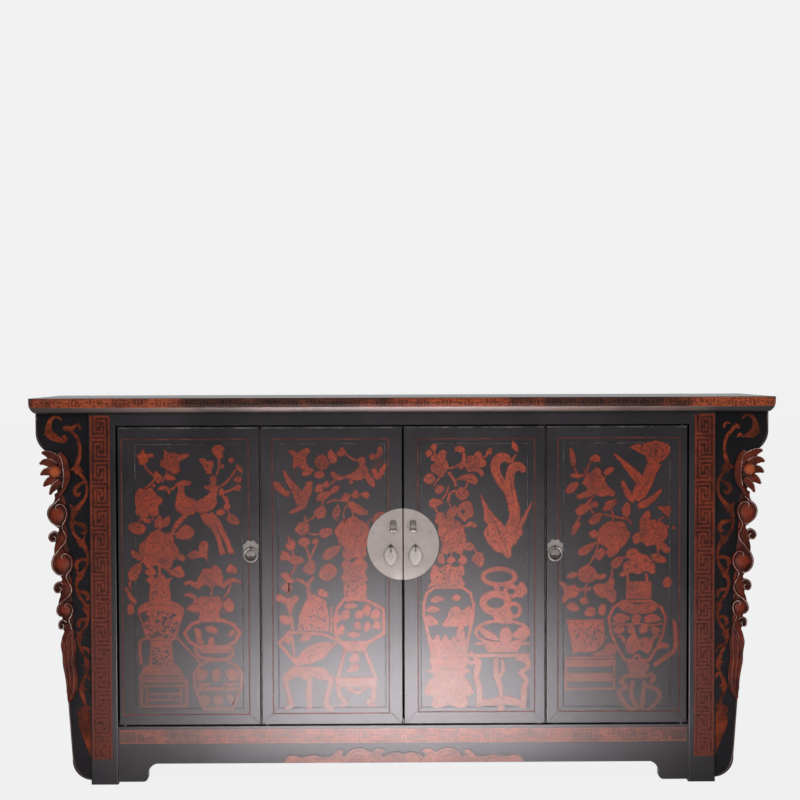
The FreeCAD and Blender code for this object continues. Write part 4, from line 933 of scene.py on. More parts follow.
chance = random.Random(11)
vermilion = red_paint("vermilion", (0.205, 0.025, 0.007), (0.125, 0.017, 0.006), (0.026, 0.008, 0.006),
                      keep=0.44, shine=1.205, faded=(0.050, 0.020, 0.012), fade=(0.46, 0.18, 0.9))
bright_vermilion = red_paint(
    "bright_vermilion", (0.258, 0.036, 0.011), (0.165, 0.025, 0.009), (0.030, 0.009, 0.007), keep=0.44,
    shine=1.21, faded=(0.065, 0.023, 0.012), fade=(0.54, 0.18, 0.9))
thin_red = red_paint("thin_red", (0.045, 0.011, 0.007), (0.026, 0.008, 0.006), (0.008, 0.005, 0.005),
                     keep=0.46, shine=1.20)
dark_red = red_paint("dark_red", (0.095, 0.017, 0.009), (0.052, 0.011, 0.007), (0.02, 0.007, 0.006),
                     keep=0.44, shine=1.19)
ground_black = red_paint(
    "ground_black", (0.024, 0.009, 0.008), (0.010, 0.006, 0.006), (0.005, 0.004, 0.004), keep=0.44,
    shine=1.20)
# Full flowers of each picture: their middles and half sizes
PEONIES = {
    "left_outer": ((53, 263, 9.5, 11), (30.5, 223, 13, 14), (40, 177, 18.5, 18.5), (91, 149, 12, 11),
                   (91, 117, 20, 12)),
    "left_inner": ((39, 267, 8, 9), (61, 263, 6.5, 6.5), (91, 187, 16.5, 21), (92, 153, 12.5, 12),
                   (66, 153, 8, 8)),
    "right_inner": ((35, 259, 8, 13), (69, 262, 9, 9), (47, 190, 14, 19), (58.5, 231, 6, 5.5),
                    (74, 165, 6, 6)),
    "right_outer": ((48, 240, 11, 13), (67, 190, 15.5, 13), (105, 192, 15.5, 15), (41, 150, 8.5, 8)),
}

# Left outer door: two long-tailed birds among peonies, a beaker on a stand, and a bowl of
# lotus on a jar
paint = dabs(
    ((25.5, 276), (28, 271.5), (34, 271.5), (36, 269), (31, 267.5), (28.5, 262), (23, 261), (21, 266),
     (20, 271), (23, 271)),
    ((47, 275), (50, 272.5), (56, 273), (60, 271), (68, 271.5), (71, 269.5), (66, 266.5), (62, 265),
     (61, 259), (62, 254), (57, 251.5), (52, 254), (47, 257), (43, 260), (42.5, 264), (46, 267),
     (46.5, 271)), ((38, 254), (42, 251), (44, 247), (41, 243), (37, 246), (36, 250)),
    ((50, 252), (55, 249.5), (57, 246.5), (52, 245), (48, 247)),
    ((19, 234), (23, 237.5), (29, 236), (33, 238), (37, 233), (39, 230), (44, 227), (43, 222),
     (40, 220), (40, 213), (37, 209.5), (32, 211), (27, 208.5), (22, 210), (18, 212), (18, 220),
     (17, 227)), ((40, 237), (45, 239.5), (50, 238), (52, 234), (51, 231), (48, 235), (43, 235.5)),
    ((37, 199), (38, 206), (42, 210), (45, 206), (50, 209.5), (52, 206), (49, 200), (44, 198.5)),
    ((10, 198), (13, 202.5), (18, 203), (24, 202), (27, 198), (25, 193), (19, 191.5), (14, 194)),
    ((58, 189), (61, 196), (66, 200), (72, 199), (76, 194), (73, 188), (67, 186.5), (62, 186.5)),
    ((34, 193), (39, 196), (46, 192.5), (52, 192), (55, 188), (55, 183), (59, 177), (60, 170),
     (55, 165), (52, 158), (45, 157), (38, 161), (31, 157.5), (26, 162), (25, 168), (21, 174),
     (22, 181), (27, 186), (30, 190)),
    ((69, 170), (75, 175), (80, 174.5), (81, 182), (86, 184.5), (89, 181), (88.5, 171), (89, 164),
     (86, 168), (80, 168), (73, 166.5)),
    ((10, 153), (14, 159), (20, 162), (23, 158), (20, 150), (16, 145.5), (11, 147)),
    ((47, 158), (53, 156), (60, 159.5), (64, 155), (65.5, 150), (60, 148.5), (53, 151), (48, 155)),
    ((27, 155), (33, 158), (38, 153), (34, 150), (29, 151)),
    ((57, 241), (61, 243.5), (66, 245), (73, 243), (70, 240.5), (66.5, 239.5), (66, 233), (69, 228.5),
     (77, 225.5), (77.5, 214), (72, 210.5), (65, 211.5), (60, 214.5), (57.5, 219), (59, 229),
     (60, 238)),
    ((86, 238), (90, 240.5), (93, 242), (91.5, 246), (95, 250), (98, 247), (97.5, 242), (100, 239),
     (98, 230), (98.5, 223), (95, 217), (88, 213.5), (82, 213), (77.5, 215.5), (78, 224.5), (84, 227),
     (89.5, 231), (92, 235)),
    ((94, 275), (97, 279), (102, 280), (106, 277), (104, 272), (105, 268), (100, 267), (97, 270)),
    ((81, 266), (86, 267), (89, 264), (94, 264.5), (95, 260), (93, 256), (93, 252), (89, 252.5),
     (86, 259), (83, 263)), ((119, 261), (123, 258), (125, 253), (121, 254), (118, 257)),
    ((116, 246), (119, 250), (123, 247), (121, 243.5), (117, 244)),
    ((115, 237), (119, 241), (123, 239), (121, 234.5), (117, 235)),
    ((101, 231), (101.5, 236), (105, 236), (105.5, 231)),
    ((98, 212), (101, 216), (105.5, 215.5), (106, 211), (101, 210)),
    ((108, 208), (112, 211), (117, 209), (121, 203), (117, 201), (111, 203)),
    ((9, 113), (10, 121), (14, 121), (15, 114), (12, 111)),
    ((82, 152), (86, 157), (91, 156), (96, 160), (101, 157), (103, 152), (104, 146), (103, 139),
     (98, 141), (92, 138.5), (86, 141), (80, 137), (77, 141), (79, 147)),
    ((108, 156), (112, 161), (117, 158), (118, 153), (112, 152)),
    ((68, 117), (73, 121), (76, 125), (80, 128), (86, 129), (92, 127.5), (99, 129), (104, 124),
     (110, 127), (115, 121), (113, 114), (107, 114), (103, 119), (100, 113), (100, 105), (81, 105),
     (81, 113), (75, 113.5)),
    ((28, 146), (33, 150.5), (37, 147), (43, 152), (48, 147), (53, 148), (50, 142), (51, 134),
     (50, 124), (32, 124), (31, 134), (32, 141)), ((86, 97), (91, 99.5), (97, 97), (98, 92), (91, 93)),
    ((76, 97), (81, 95), (82, 88), (84, 82), (79, 82), (77, 88)),
    ((109, 90), (113, 95), (116, 93), (112, 88)), ((90, 87), (94, 88), (95, 81), (90, 80)),
    ((77, 51), (80, 56), (86, 55), (88, 49), (83, 45), (78, 46)),
    ((93, 53), (98, 56), (101, 50), (98, 43), (94, 45)),
    ((106, 54), (112, 56), (119, 52), (118, 46), (110, 45)),
    ((81, 27), (86, 30), (91, 27), (89, 21), (84, 20)),
    ((94, 27), (99, 30), (104, 26), (101, 20), (96, 20)), ((107, 29), (112, 30), (115, 25), (111, 21)))
paint += sweeps(
    ((84, 212.5, 6), (90, 205, 9), (95, 198, 5), (99, 190, 4), (101.5, 181, 4), (104, 171, 6)),
    ((92, 212, 4), (98, 205, 5), (104, 193, 5), (109, 183, 4.5), (113, 172, 5)),
    ((70, 212, 3), (63, 206.5, 4.5), (58, 200, 4.5), (54, 193, 2)),
    ((24, 209, 2), (29, 205, 4.5), (33, 206, 2)), ((13.5, 175, 2), (17, 171, 6), (23, 167, 4)),
    ((58, 171, 4), (63, 168, 6), (66, 165.5, 3)), ((104, 230, 2), (108, 226, 4), (109, 222, 2)),
    ((7, 137.5, 2), (11, 131, 3.5), (14, 126, 4), (17, 123, 3)),
    ((66, 142, 2.5), (72, 143, 4), (79, 138, 3)),
    ((104, 138, 3), (110, 144, 4.5), (117, 145, 3.5), (122, 142, 1.5)),
    ((66, 130, 2), (71, 131, 4), (77, 127, 3.5)), ((40, 162, 2), (41, 155, 2.4), (41, 149, 2)),
    ((27, 87, 2), (21.5, 84, 2.6), (21, 70, 2.6), (22.5, 61, 2)),
    ((76, 79, 2.4), (78, 71, 3), (85, 67, 3), (106, 66, 3), (113, 70, 3), (112, 78, 2.4)),
    ((78, 42, 2), (84, 40, 3), (90, 42, 2)), ((105, 42, 2), (111, 40, 3), (117, 42, 2)))
paint += dots((113, 265, 2.6), (108.5, 218.5, 3.2), (36, 240, 1.4), (104, 259, 2.0))
paint += full_pot(
    42,
    ((10, 125), (18, 121.5), (22.5, 117.5), (22.5, 112), (18.5, 100), (15.5, 88), (10.5, 84), (11, 72),
     (12.5, 61), (18, 58), (22.5, 47)))
paint += pot(93, ((10, 105), (21, 101), (27.5, 92.5), (23, 84), (14, 78.5)), 3.0)
paint += sharp((80, 79), (112, 79), (110, 72.5), (81, 72.5))
paint += pot(98.5, ((9, 65), (19, 59), (24, 51), (23, 38), (18, 24), (14, 16)), 2.2)
paint += rule(3.2, (77, 36), (120, 36))
paint += rule(2.4, (88, 65.5), (108, 65.5)) + rule(1.5, (58, 88), (82, 61))
paint += outline(2.2, (22, 19), (67, 19), (67, 44.5), (22, 44.5))
paint += rule(1.6, (24, 39.5), (65, 39.5))
paint += rule(1.8, (27, 31.5), (62, 31.5))
paint += rule(1.5, (27.5, 39), (27.5, 20))
paint += rule(1.5, (61.5, 39), (61.5, 20))
paint += rule(1.4, (29, 25.5), (60, 25.5))
paint += rule(1.4, (39, 31), (39, 26)) + rule(1.4, (50, 31), (50, 26))
ground = speckle(74, ((23, 115), (61, 115), (55, 88), (29, 88)), 0.7, 1.9)
ground += speckle(36, ((33, 82), (51, 82), (53, 61), (32, 61)), 0.7, 1.8)
ground += speckle(26, ((33, 143), (49, 143), (49, 125), (33, 125)), 0.5, 1.2)
ground += speckle(30, ((80, 56), (116, 56), (110, 20), (86, 20)), 0.4, 1.1)
ground += dabs(((21.5, 113), (26, 114), (29, 109), (28, 104.5), (24, 104), (22, 108)))
ground += rule(1.6, (23, 49.5), (62, 49.5))
ground += dots(
    (38.5, 104.5, 1.9), (38.5, 92, 2.0, 3.4), (46.5, 107, 2.2), (55, 110.5, 2.8, 1.8), (47, 89, 2.2),
    (47.5, 74, 2.0), (36.5, 63, 2.0))
shade = sweeps(
    ((22, 117, 0.8), (34, 120.5, 0.8), (50, 120.5, 0.8), (63, 117, 0.8)),
    ((27, 86, 0.8), (42, 85, 0.9), (57, 86, 0.8)), ((60, 222, 0.7), (66, 218, 0.9), (74, 217, 0.7)),
    ((82, 219, 0.7), (89, 218, 0.9), (95, 223, 0.7)))
shade += veins(
    (38, 252, 40, 245), (43, 237, 51, 234), (39, 201, 41, 208), (46, 200, 50, 207), (13, 198, 25, 198),
    (60, 190, 73, 195), (71, 169, 81, 171), (85, 182, 86, 169), (13, 149, 20, 159), (50, 156, 63, 152),
    (110, 208, 119, 203), (83, 265, 92, 254))
paint += stems(
    (40, 195, 34, 209), (41, 196, 45, 204), (26, 237, 38, 248), (44, 244, 49, 254), (50, 193, 60, 192),
    (98, 250, 101, 268), (101, 238, 118, 257), (104, 233, 117, 238), (108, 221, 112, 210),
    (92, 128, 92, 140), (104, 127, 112, 142), (20, 203, 24, 210), (53, 236, 58, 240),
    (26, 262, 36, 250), (20, 160, 26, 168), (12, 147, 12, 136))
pictures = {"left_outer": (paint, shade, ground)}

# Left inner door: a swallow and a songbird over peonies, a lantern on its stand and a
# tilted bowl on a small table
paint = dabs(
    ((28, 274), (33, 275), (37, 272), (41, 274), (45, 277), (49.5, 275), (46, 270), (45, 264),
     (46, 259), (41, 257.5), (37, 259.5), (33, 256.5), (32, 262), (33, 268), (30, 271)),
    ((54, 262), (55, 267), (60, 270), (65, 268), (67, 263), (65, 258), (60, 256), (56, 258)),
    ((67, 272), (70, 275), (73, 271), (76, 267), (74, 262), (69, 263)),
    ((76, 272), (80, 277), (84, 275), (84, 271), (79, 269)),
    ((41, 250), (44, 256), (49, 257), (51, 253), (47, 250)),
    ((53, 250), (58, 254), (63, 252), (62, 248), (56, 247)),
    ((70, 252), (72, 247), (77, 244.5), (84, 247), (91, 245.5), (96, 244.5), (101, 246), (107, 248),
     (107, 255), (104, 260), (104, 265), (101, 268), (97, 265), (98.5, 260), (95, 255), (89, 250.5),
     (82, 248.5), (76, 251), (73, 253)), ((116, 272), (118, 278), (121, 276), (120, 270)),
    ((54, 235), (58, 241), (62, 239), (60, 233)), ((62, 240), (66, 244), (68, 240), (65, 237)),
    ((80, 226), (84, 231.5), (89, 229), (87, 225), (82, 223.5)),
    ((90, 229), (94, 235), (98, 231), (95, 227)), ((100, 230), (104, 233), (108, 230), (105, 226.5)),
    ((53, 212), (56, 217), (62, 219), (65, 214), (63, 208.5), (57, 206.5)),
    ((71, 210), (73, 216), (77, 220.5), (79, 215), (77, 209), (73, 207.5)),
    ((75, 198), (80, 203), (86, 206), (92, 209), (98, 206), (104, 202), (108, 196), (106, 189),
     (108, 183), (104, 178), (105, 170), (99, 165), (93, 168), (86, 164), (81, 170), (83, 177),
     (78, 181), (76, 188), (73.5, 193)),
    ((111, 203), (113, 209), (118, 213), (123, 211), (120, 206), (115, 202.5)),
    ((58, 192), (62, 196), (69, 197), (71, 192), (66, 188.5), (61, 187.5)),
    ((34, 196), (38, 202), (42, 203), (44, 209), (46, 203), (48, 197), (45, 191.5), (40, 190.5),
     (36, 193)), ((24, 180), (27, 184), (26, 189.5), (30, 186), (34, 183), (33, 177), (28, 174.5)),
    ((37, 183), (41, 187.5), (47, 187), (48, 181), (42, 178.5)),
    ((19, 168), (22, 174), (27, 172), (28, 166.5), (22, 165)),
    ((42, 155), (46, 162), (51, 165), (54, 160), (53, 153), (47, 151)),
    ((58, 150), (60, 157), (66, 161), (71, 160), (75, 155), (72, 148), (66, 144), (61, 146)),
    ((80, 160), (85, 166), (90, 162), (96, 166), (103, 164), (106, 158), (103, 152), (106, 146),
     (99, 141), (92, 145), (86, 141), (80, 146), (82, 153)),
    ((20, 150), (25, 153), (30, 147), (33, 144), (27, 142), (24, 145)),
    ((20, 138), (24, 142), (30, 139), (29, 134), (24, 133)),
    ((14, 128), (18, 131), (22, 128.5), (28, 127), (34, 130), (37, 126), (33, 121), (30, 114),
     (26, 112), (26, 118), (21, 123), (16, 124)),
    ((18, 108), (24, 109.5), (30, 108), (29, 102), (24, 100), (20, 103)),
    ((56, 133), (59, 136.5), (64, 134), (67, 130), (62, 128), (58, 130)),
    ((79, 109), (83, 115), (88, 113), (87, 107), (82, 105)),
    ((93, 108), (96, 114), (101, 112), (99, 106)), ((101, 112), (104, 120), (109, 117), (107, 109)),
    ((109, 108), (113, 116), (118, 113), (116, 105)), ((111, 98), (114, 104), (118, 101), (117, 95)),
    ((92, 98), (95, 103), (99, 101), (98, 95)), ((75, 92), (79, 100), (83, 97), (80, 90)),
    ((70, 105), (75, 111), (80, 107), (76, 102)), ((102, 97), (106, 103), (109, 98), (105, 93)),
    ((85, 90), (92, 93), (99, 90), (92, 87)), ((82, 118), (88, 122), (95, 119), (89, 116)),
    ((33, 63), (40, 72), (47, 78), (56, 82), (64, 83), (70, 81), (64, 73), (57, 66), (46, 61)),
    ((23, 84), (27, 90), (31, 86), (27, 81)), ((38, 84), (43, 92), (49, 90), (46, 84)),
    ((88, 63), (91, 71), (96, 70), (97, 63)), ((86, 54), (91, 60), (97, 58), (93, 53)))
paint += sweeps(
    ((13, 243, 2), (17, 239, 7), (22, 233.5, 5), (28, 230.5, 6)),
    ((23, 254, 1.5), (27, 246, 5), (32, 239, 7), (37, 231, 9), (40, 222, 9)),
    ((50, 244, 3), (47, 236, 8), (44, 229, 9), (42, 220, 7)),
    ((44, 220, 5), (36, 215.5, 4), (28, 212, 1.5)), ((106, 250, 5), (110, 243, 6), (113, 238.5, 2)),
    ((112, 256, 4), (116, 248, 5), (121, 254, 5), (124, 261, 2)),
    ((118, 272, 3), (115, 267, 4), (118, 263, 4), (113, 257, 3)),
    ((56, 225, 3), (62, 229, 8), (69, 232.5, 3)), ((69, 232, 3), (74, 236, 6), (77.5, 239, 2)),
    ((88, 222, 5), (94, 217, 8), (100, 213.5, 7), (106, 212, 3)),
    ((62, 167, 5), (68, 171, 10), (75, 176, 7), (79, 178.5, 2)),
    ((27, 167, 4), (33, 165, 8), (39, 165, 6), (42.5, 164, 2)),
    ((43, 180, 1.2), (47, 172, 1.6), (49, 163, 1.4)), ((56, 181, 1.0), (52, 174, 1.4), (49, 166, 1.2)),
    ((52, 148, 2), (47, 140, 3), (48, 128, 4)), ((35, 146, 2), (42, 143, 2.4), (47, 138, 2)),
    ((66, 222, 1.0), (73, 225, 1.2), (80, 224, 1.0)), ((85, 219, 1.0), (82, 211, 1.2), (84, 203, 1.0)),
    ((28, 112, 2), (30, 104, 3), (31, 95, 2)),
    ((27, 52, 3), (23.5, 46, 5), (25, 36, 4), (28, 25, 4), (29, 19, 5), (24, 16.5, 3)),
    ((48, 46, 4), (47, 30, 5), (48, 15, 4)),
    ((64, 51, 4), (69, 45, 5), (67, 34, 4), (64, 24, 4), (66, 17, 5), (71, 15.5, 3.5)),
    ((76, 38, 4), (78, 28, 4), (84, 21, 4), (78, 19, 2.4)),
    ((111, 38, 4), (112, 28, 4), (107, 21, 4), (113, 19, 2.4)),
    ((86, 37, 2.4), (95, 32, 3), (104, 37, 2.4)))
paint += dots((54, 183.5, 3.2), (111, 268, 3.0), (90, 243, 1.8), (84, 186, 1.0), (46, 242, 1.0))
paint += sharp((46, 128), (52, 131), (64, 124), (67, 108), (67, 94), (36, 94), (38, 110))
paint += rule(1.2, (69.5, 118), (69.5, 92))
paint += full_pot(93.5, ((9, 143), (11.5, 140), (11, 128), (12, 125)))
paint += outline(
    2.8, (82, 125), (104, 125), (122, 115.5), (122, 91), (106, 82), (79, 82), (74, 90), (73, 106),
    (76, 117))
paint += sharp((80, 82), (107, 82), (103, 73.5), (83, 73.5))
paint += rule(2.4, (83, 74), (76, 46))
paint += rule(2.4, (103, 74), (114, 46))
paint += sharp((73, 47), (116, 47), (114, 38), (75, 38))
paint += outline(2.4, (17.5, 82), (27.5, 93), (62, 90.5), (76, 84.5), (60, 67), (35, 60))
paint += rule(1.6, (33, 63), (30, 92))
paint += dabs(
    ((28, 56), (36, 58.5), (50, 57.5), (60, 57), (67, 52), (69, 46), (60, 45), (52, 48.5), (44, 45),
     (36, 49), (28, 45), (25, 50)))
ground = speckle(50, ((46, 127), (62, 123), (66, 95), (38, 95)), 0.5, 1.3)
ground += speckle(12, ((84, 141), (103, 141), (104, 126), (83, 126)), 0.6, 1.4)
ground += speckle(14, ((34, 56), (62, 56), (64, 48), (30, 48)), 0.4, 0.9)
ground += speckle(8, ((80, 45), (110, 45), (110, 40), (80, 40)), 0.4, 0.9)
shade = veins(
    (56, 225, 68, 231), (70, 233, 76, 238), (89, 221, 104, 213), (64, 168, 77, 177), (29, 166, 41, 165),
    (60, 192, 69, 193), (55, 211, 63, 215), (73, 209, 77, 218), (44, 155, 51, 162), (38, 195, 46, 197),
    (113, 205, 121, 211), (26, 181, 32, 180))
shade += sweeps(
    ((74, 249, 0.7), (84, 247.5, 0.9), (95, 248, 0.7)),
    ((98, 258, 0.7), (103, 252, 0.8), (104, 248, 0.7)),
    ((31, 240, 0.6), (36, 232, 0.8), (40, 224, 0.6)), ((42, 70, 0.8), (52, 76, 0.9), (62, 78, 0.8)),
    ((38, 65, 0.8), (48, 68, 0.9), (58, 72, 0.8)))
paint += stems(
    (93, 143, 94, 166), (92, 208, 86, 224), (76, 204, 72, 209), (60, 219, 62, 227), (47, 192, 58, 191),
    (46, 204, 54, 210), (62, 256, 59, 253), (41, 258, 45, 255), (70, 263, 64, 256), (31, 176, 34, 166),
    (29, 150, 35, 163), (26, 130, 27, 141), (68, 240, 75, 247), (88, 230, 92, 230), (98, 231, 102, 230),
    (110, 206, 106, 200), (53, 254, 42, 259), (84, 272, 96, 264))
pictures["left_inner"] = (paint, shade, ground)

# Right inner door: a phoenix with two plumes, peonies in a tall vase, and a pierced rock
# over a bowl on a stand
paint = dabs(
    ((22, 272), (25, 275), (28, 272), (27, 269), (24, 268)),
    ((27, 277), (30, 281), (33, 278), (31, 274)),
    ((30, 270), (33, 266), (35, 271), (39, 275), (42.5, 272), (42, 266), (44, 261), (44.5, 256),
     (41, 251), (38, 247), (33, 250), (28, 253), (27, 258), (31, 262), (27, 265)),
    ((20, 246), (24, 251), (30, 249), (31, 244), (26, 241), (22, 242)),
    ((31, 234), (34, 239), (40, 238), (39, 233), (34, 231)),
    ((25, 221), (28, 226), (34, 225.5), (39, 222.5), (34, 218.5), (29, 217)),
    ((52, 230), (55, 236), (60, 236.5), (65, 231), (62, 226), (57, 225)),
    ((58, 262), (62, 264), (65, 268.5), (70, 269), (73, 273), (77, 272), (78, 266), (82, 263),
     (81, 258), (76, 257), (80, 253), (78, 248), (74, 252), (70, 253), (65, 252.5), (62, 257)),
    ((82, 271), (85, 276), (88, 275.5), (87, 270.5)),
    ((55, 219), (60, 223), (66, 222.5), (69.5, 216), (69, 208), (63, 205.5), (61, 203), (56, 207),
     (53, 212)),
    ((33, 211), (39, 212), (42, 206), (48, 207), (54, 203), (59, 198), (61, 191), (62, 184), (60, 176),
     (57, 171), (49, 173), (42, 170), (37, 173), (38, 180), (36, 187), (34, 193), (35, 199), (31, 203)),
    ((60, 178), (65, 182), (70, 179), (68, 174.5), (62, 174)),
    ((68, 165), (72, 171), (78, 171), (80, 165), (78, 158.5), (72, 160)),
    ((55, 165), (59, 169.5), (63, 166), (61, 160.5), (56, 161)),
    ((34, 163), (35, 171), (39, 170), (40, 161)), ((43, 163), (46, 168), (51, 165), (48, 161)),
    ((77, 230), (82, 220), (87, 213), (93, 206), (98, 201), (101, 195), (104, 183), (107, 170),
     (104, 166), (98, 171), (92, 173), (87, 178), (82, 185), (80, 193), (84, 199), (80, 205),
     (80, 213)),
    ((128, 222), (122, 213), (116, 205), (112, 201), (108, 190), (111, 180), (114, 185), (118, 191),
     (118, 198), (122, 206)), ((108, 277), (109, 283), (113, 279), (114, 273), (111, 274)),
    ((30, 160), (37, 157), (44, 160), (52, 157), (58, 160), (60, 152), (58, 146), (61, 141), (57, 137),
     (50, 139), (40, 138), (30, 139), (24, 137), (28, 143), (26, 150)),
    ((27, 124), (33, 128.5), (40, 125.5), (33, 122)), ((48, 126), (52, 130), (57, 127), (53, 123.5)),
    ((38, 99), (43, 107), (47, 116), (53, 118), (58, 114), (66, 118), (68, 108), (65, 99), (52, 98)),
    ((21, 114), (28, 118.5), (36, 115), (28, 112)), ((22, 100), (23, 109), (30, 107), (34, 100)),
    ((52, 86), (54, 96), (58, 98.5), (61, 90), (57, 84)),
    ((25, 90), (29, 84), (33, 90), (37, 84), (41, 89), (45, 84), (50, 88), (54, 82), (62, 86), (61, 70),
     (60, 57), (29, 57), (27, 72)),
    ((24, 53), (30, 56), (45, 54.5), (60, 56), (66, 52.5), (60, 49), (66, 40), (69, 31), (62, 27),
     (64, 19), (55, 15.5), (45, 20), (35, 15.5), (27, 19), (30, 27), (20, 31), (24, 41), (30, 49)),
    ((111, 131), (114, 139), (118, 142), (123, 134), (119, 128), (114, 127)),
    ((88, 112), (91, 104), (96, 101), (107, 101), (108, 112), (100, 116)),
    ((74, 96), (80, 96), (88, 91), (95, 85), (88, 84), (80, 88)),
    ((96, 83), (97, 94), (102, 97), (107, 92), (106, 83)),
    ((108, 88), (114, 95), (122, 97), (124, 91), (116, 86)),
    ((76, 19), (78, 24), (88, 25), (98, 28), (108, 26), (117, 22), (119, 18), (108, 19), (98, 20),
     (88, 18.5)))
paint += sweeps(
    ((107, 222, 7), (104, 233, 8), (98, 241, 8), (93, 250, 8), (91, 258, 9), (93, 264, 9), (98, 267, 9),
     (103, 266, 7), (107, 262, 4)),
    ((109, 214, 9), (108, 228, 9), (106, 238, 8), (106, 248, 8), (108, 255, 9), (113, 258, 9),
     (118, 256, 7), (119, 252, 4)),
    ((101, 173, 10), (104, 188, 14), (109, 200, 12), (111, 212, 10), (110, 222, 8)),
    ((44, 222, 2), (46, 231, 2), (52, 234, 2)), ((45, 252, 2.5), (50, 245, 3), (52, 238, 2)),
    ((53, 245, 1.5), (60, 247, 5), (67, 246, 9), (73, 242, 5)),
    ((51, 275, 3), (56, 275.5, 6), (60, 273, 4)), ((60, 272, 2), (60, 262, 4), (56, 256, 4)),
    ((44, 207, 5), (48, 212, 9), (53, 217.5, 5)), ((62, 198, 2), (67, 200.5, 4.4), (72, 198, 3)),
    ((66, 72, 3), (74, 62, 6), (72, 48, 5), (75, 36, 5), (75, 17, 5)),
    ((63, 66, 2.4), (66, 61, 3), (72, 63, 3)), ((92, 66, 4), (92, 50, 5), (96, 36, 4), (97, 13, 5)),
    ((112, 66, 4), (122, 64, 5), (124, 57, 4), (117, 51, 5), (122, 44, 4.5), (120, 34, 5),
     (119, 15, 5)), ((98, 64, 2), (99, 54, 3), (95, 46, 3)))
paint += pot(44.5, ((14, 137), (22, 131), (25, 120), (24.5, 108), (21, 92), (17, 72), (15.5, 57)), 2.4)
paint += ring(95, 147.5, 16, 8, 4.2)
paint += ring(91.5, 121.5, 12.5, 9, 7)
paint += ring(110, 114, 6, 6.5, 3.4)
paint += ring(107, 133, 6, 5, 4)
paint += ring(98, 92, 26.5, 11.5, 2.6)
paint += rule(4.6, (91, 141), (96, 128))
paint += rule(2.6, (71, 80.5), (125, 80.5))
paint += sharp((80, 79), (117, 79), (113, 72), (84, 72))
paint += rule(3.0, (63, 68.5), (125, 68.5))
ground = speckle(24, ((30, 156), (57, 156), (57, 140), (30, 140)), 0.5, 1.2)
ground += speckle(26, ((30, 50), (60, 50), (60, 20), (30, 20)), 0.4, 1.0)
ground += speckle(12, ((30, 80), (60, 80), (58, 60), (31, 60)), 0.4, 0.8)
ground += dots((59, 213, 2.2), (107, 133, 1.6), (84, 190, 1.2), (92, 183, 1.0))
ground += speckle(12, ((83, 195), (100, 195), (103, 175), (88, 178)), 0.4, 1.0)
shade = veins(
    (56, 246, 72, 244), (22, 246, 29, 246), (27, 221, 37, 222), (53, 275, 59, 274), (45, 208, 52, 216),
    (63, 198, 71, 199), (70, 163, 78, 168), (62, 178, 69, 178))
shade += sweeps(
    ((93, 262, 0.7), (94, 252, 0.8), (100, 240, 0.7), (106, 228, 0.6)),
    ((109, 252, 0.7), (107, 240, 0.8), (109, 226, 0.7)),
    ((82, 216, 0.6), (90, 204, 0.9), (97, 190, 0.7)), ((84, 208, 0.6), (92, 197, 0.8), (99, 182, 0.6)),
    ((122, 212, 0.6), (115, 202, 0.8), (111, 190, 0.6)),
    ((42, 101, 0.7), (50, 110, 0.9), (62, 111, 0.7)), ((28, 68, 0.7), (44, 66, 0.9), (60, 68, 0.7)))
paint += stems(
    (46, 159, 47, 173), (48, 208, 45, 222), (38, 225, 45, 240), (58, 224, 57, 227), (61, 236, 64, 244),
    (36, 247, 30, 238), (30, 220, 34, 212), (58, 199, 63, 199), (57, 172, 58, 168), (70, 178, 74, 170),
    (44, 256, 58, 262), (78, 266, 84, 271), (112, 270, 108, 260), (30, 275, 33, 268),
    (38, 171, 42, 176))
pictures["right_inner"] = (paint, shade, ground)

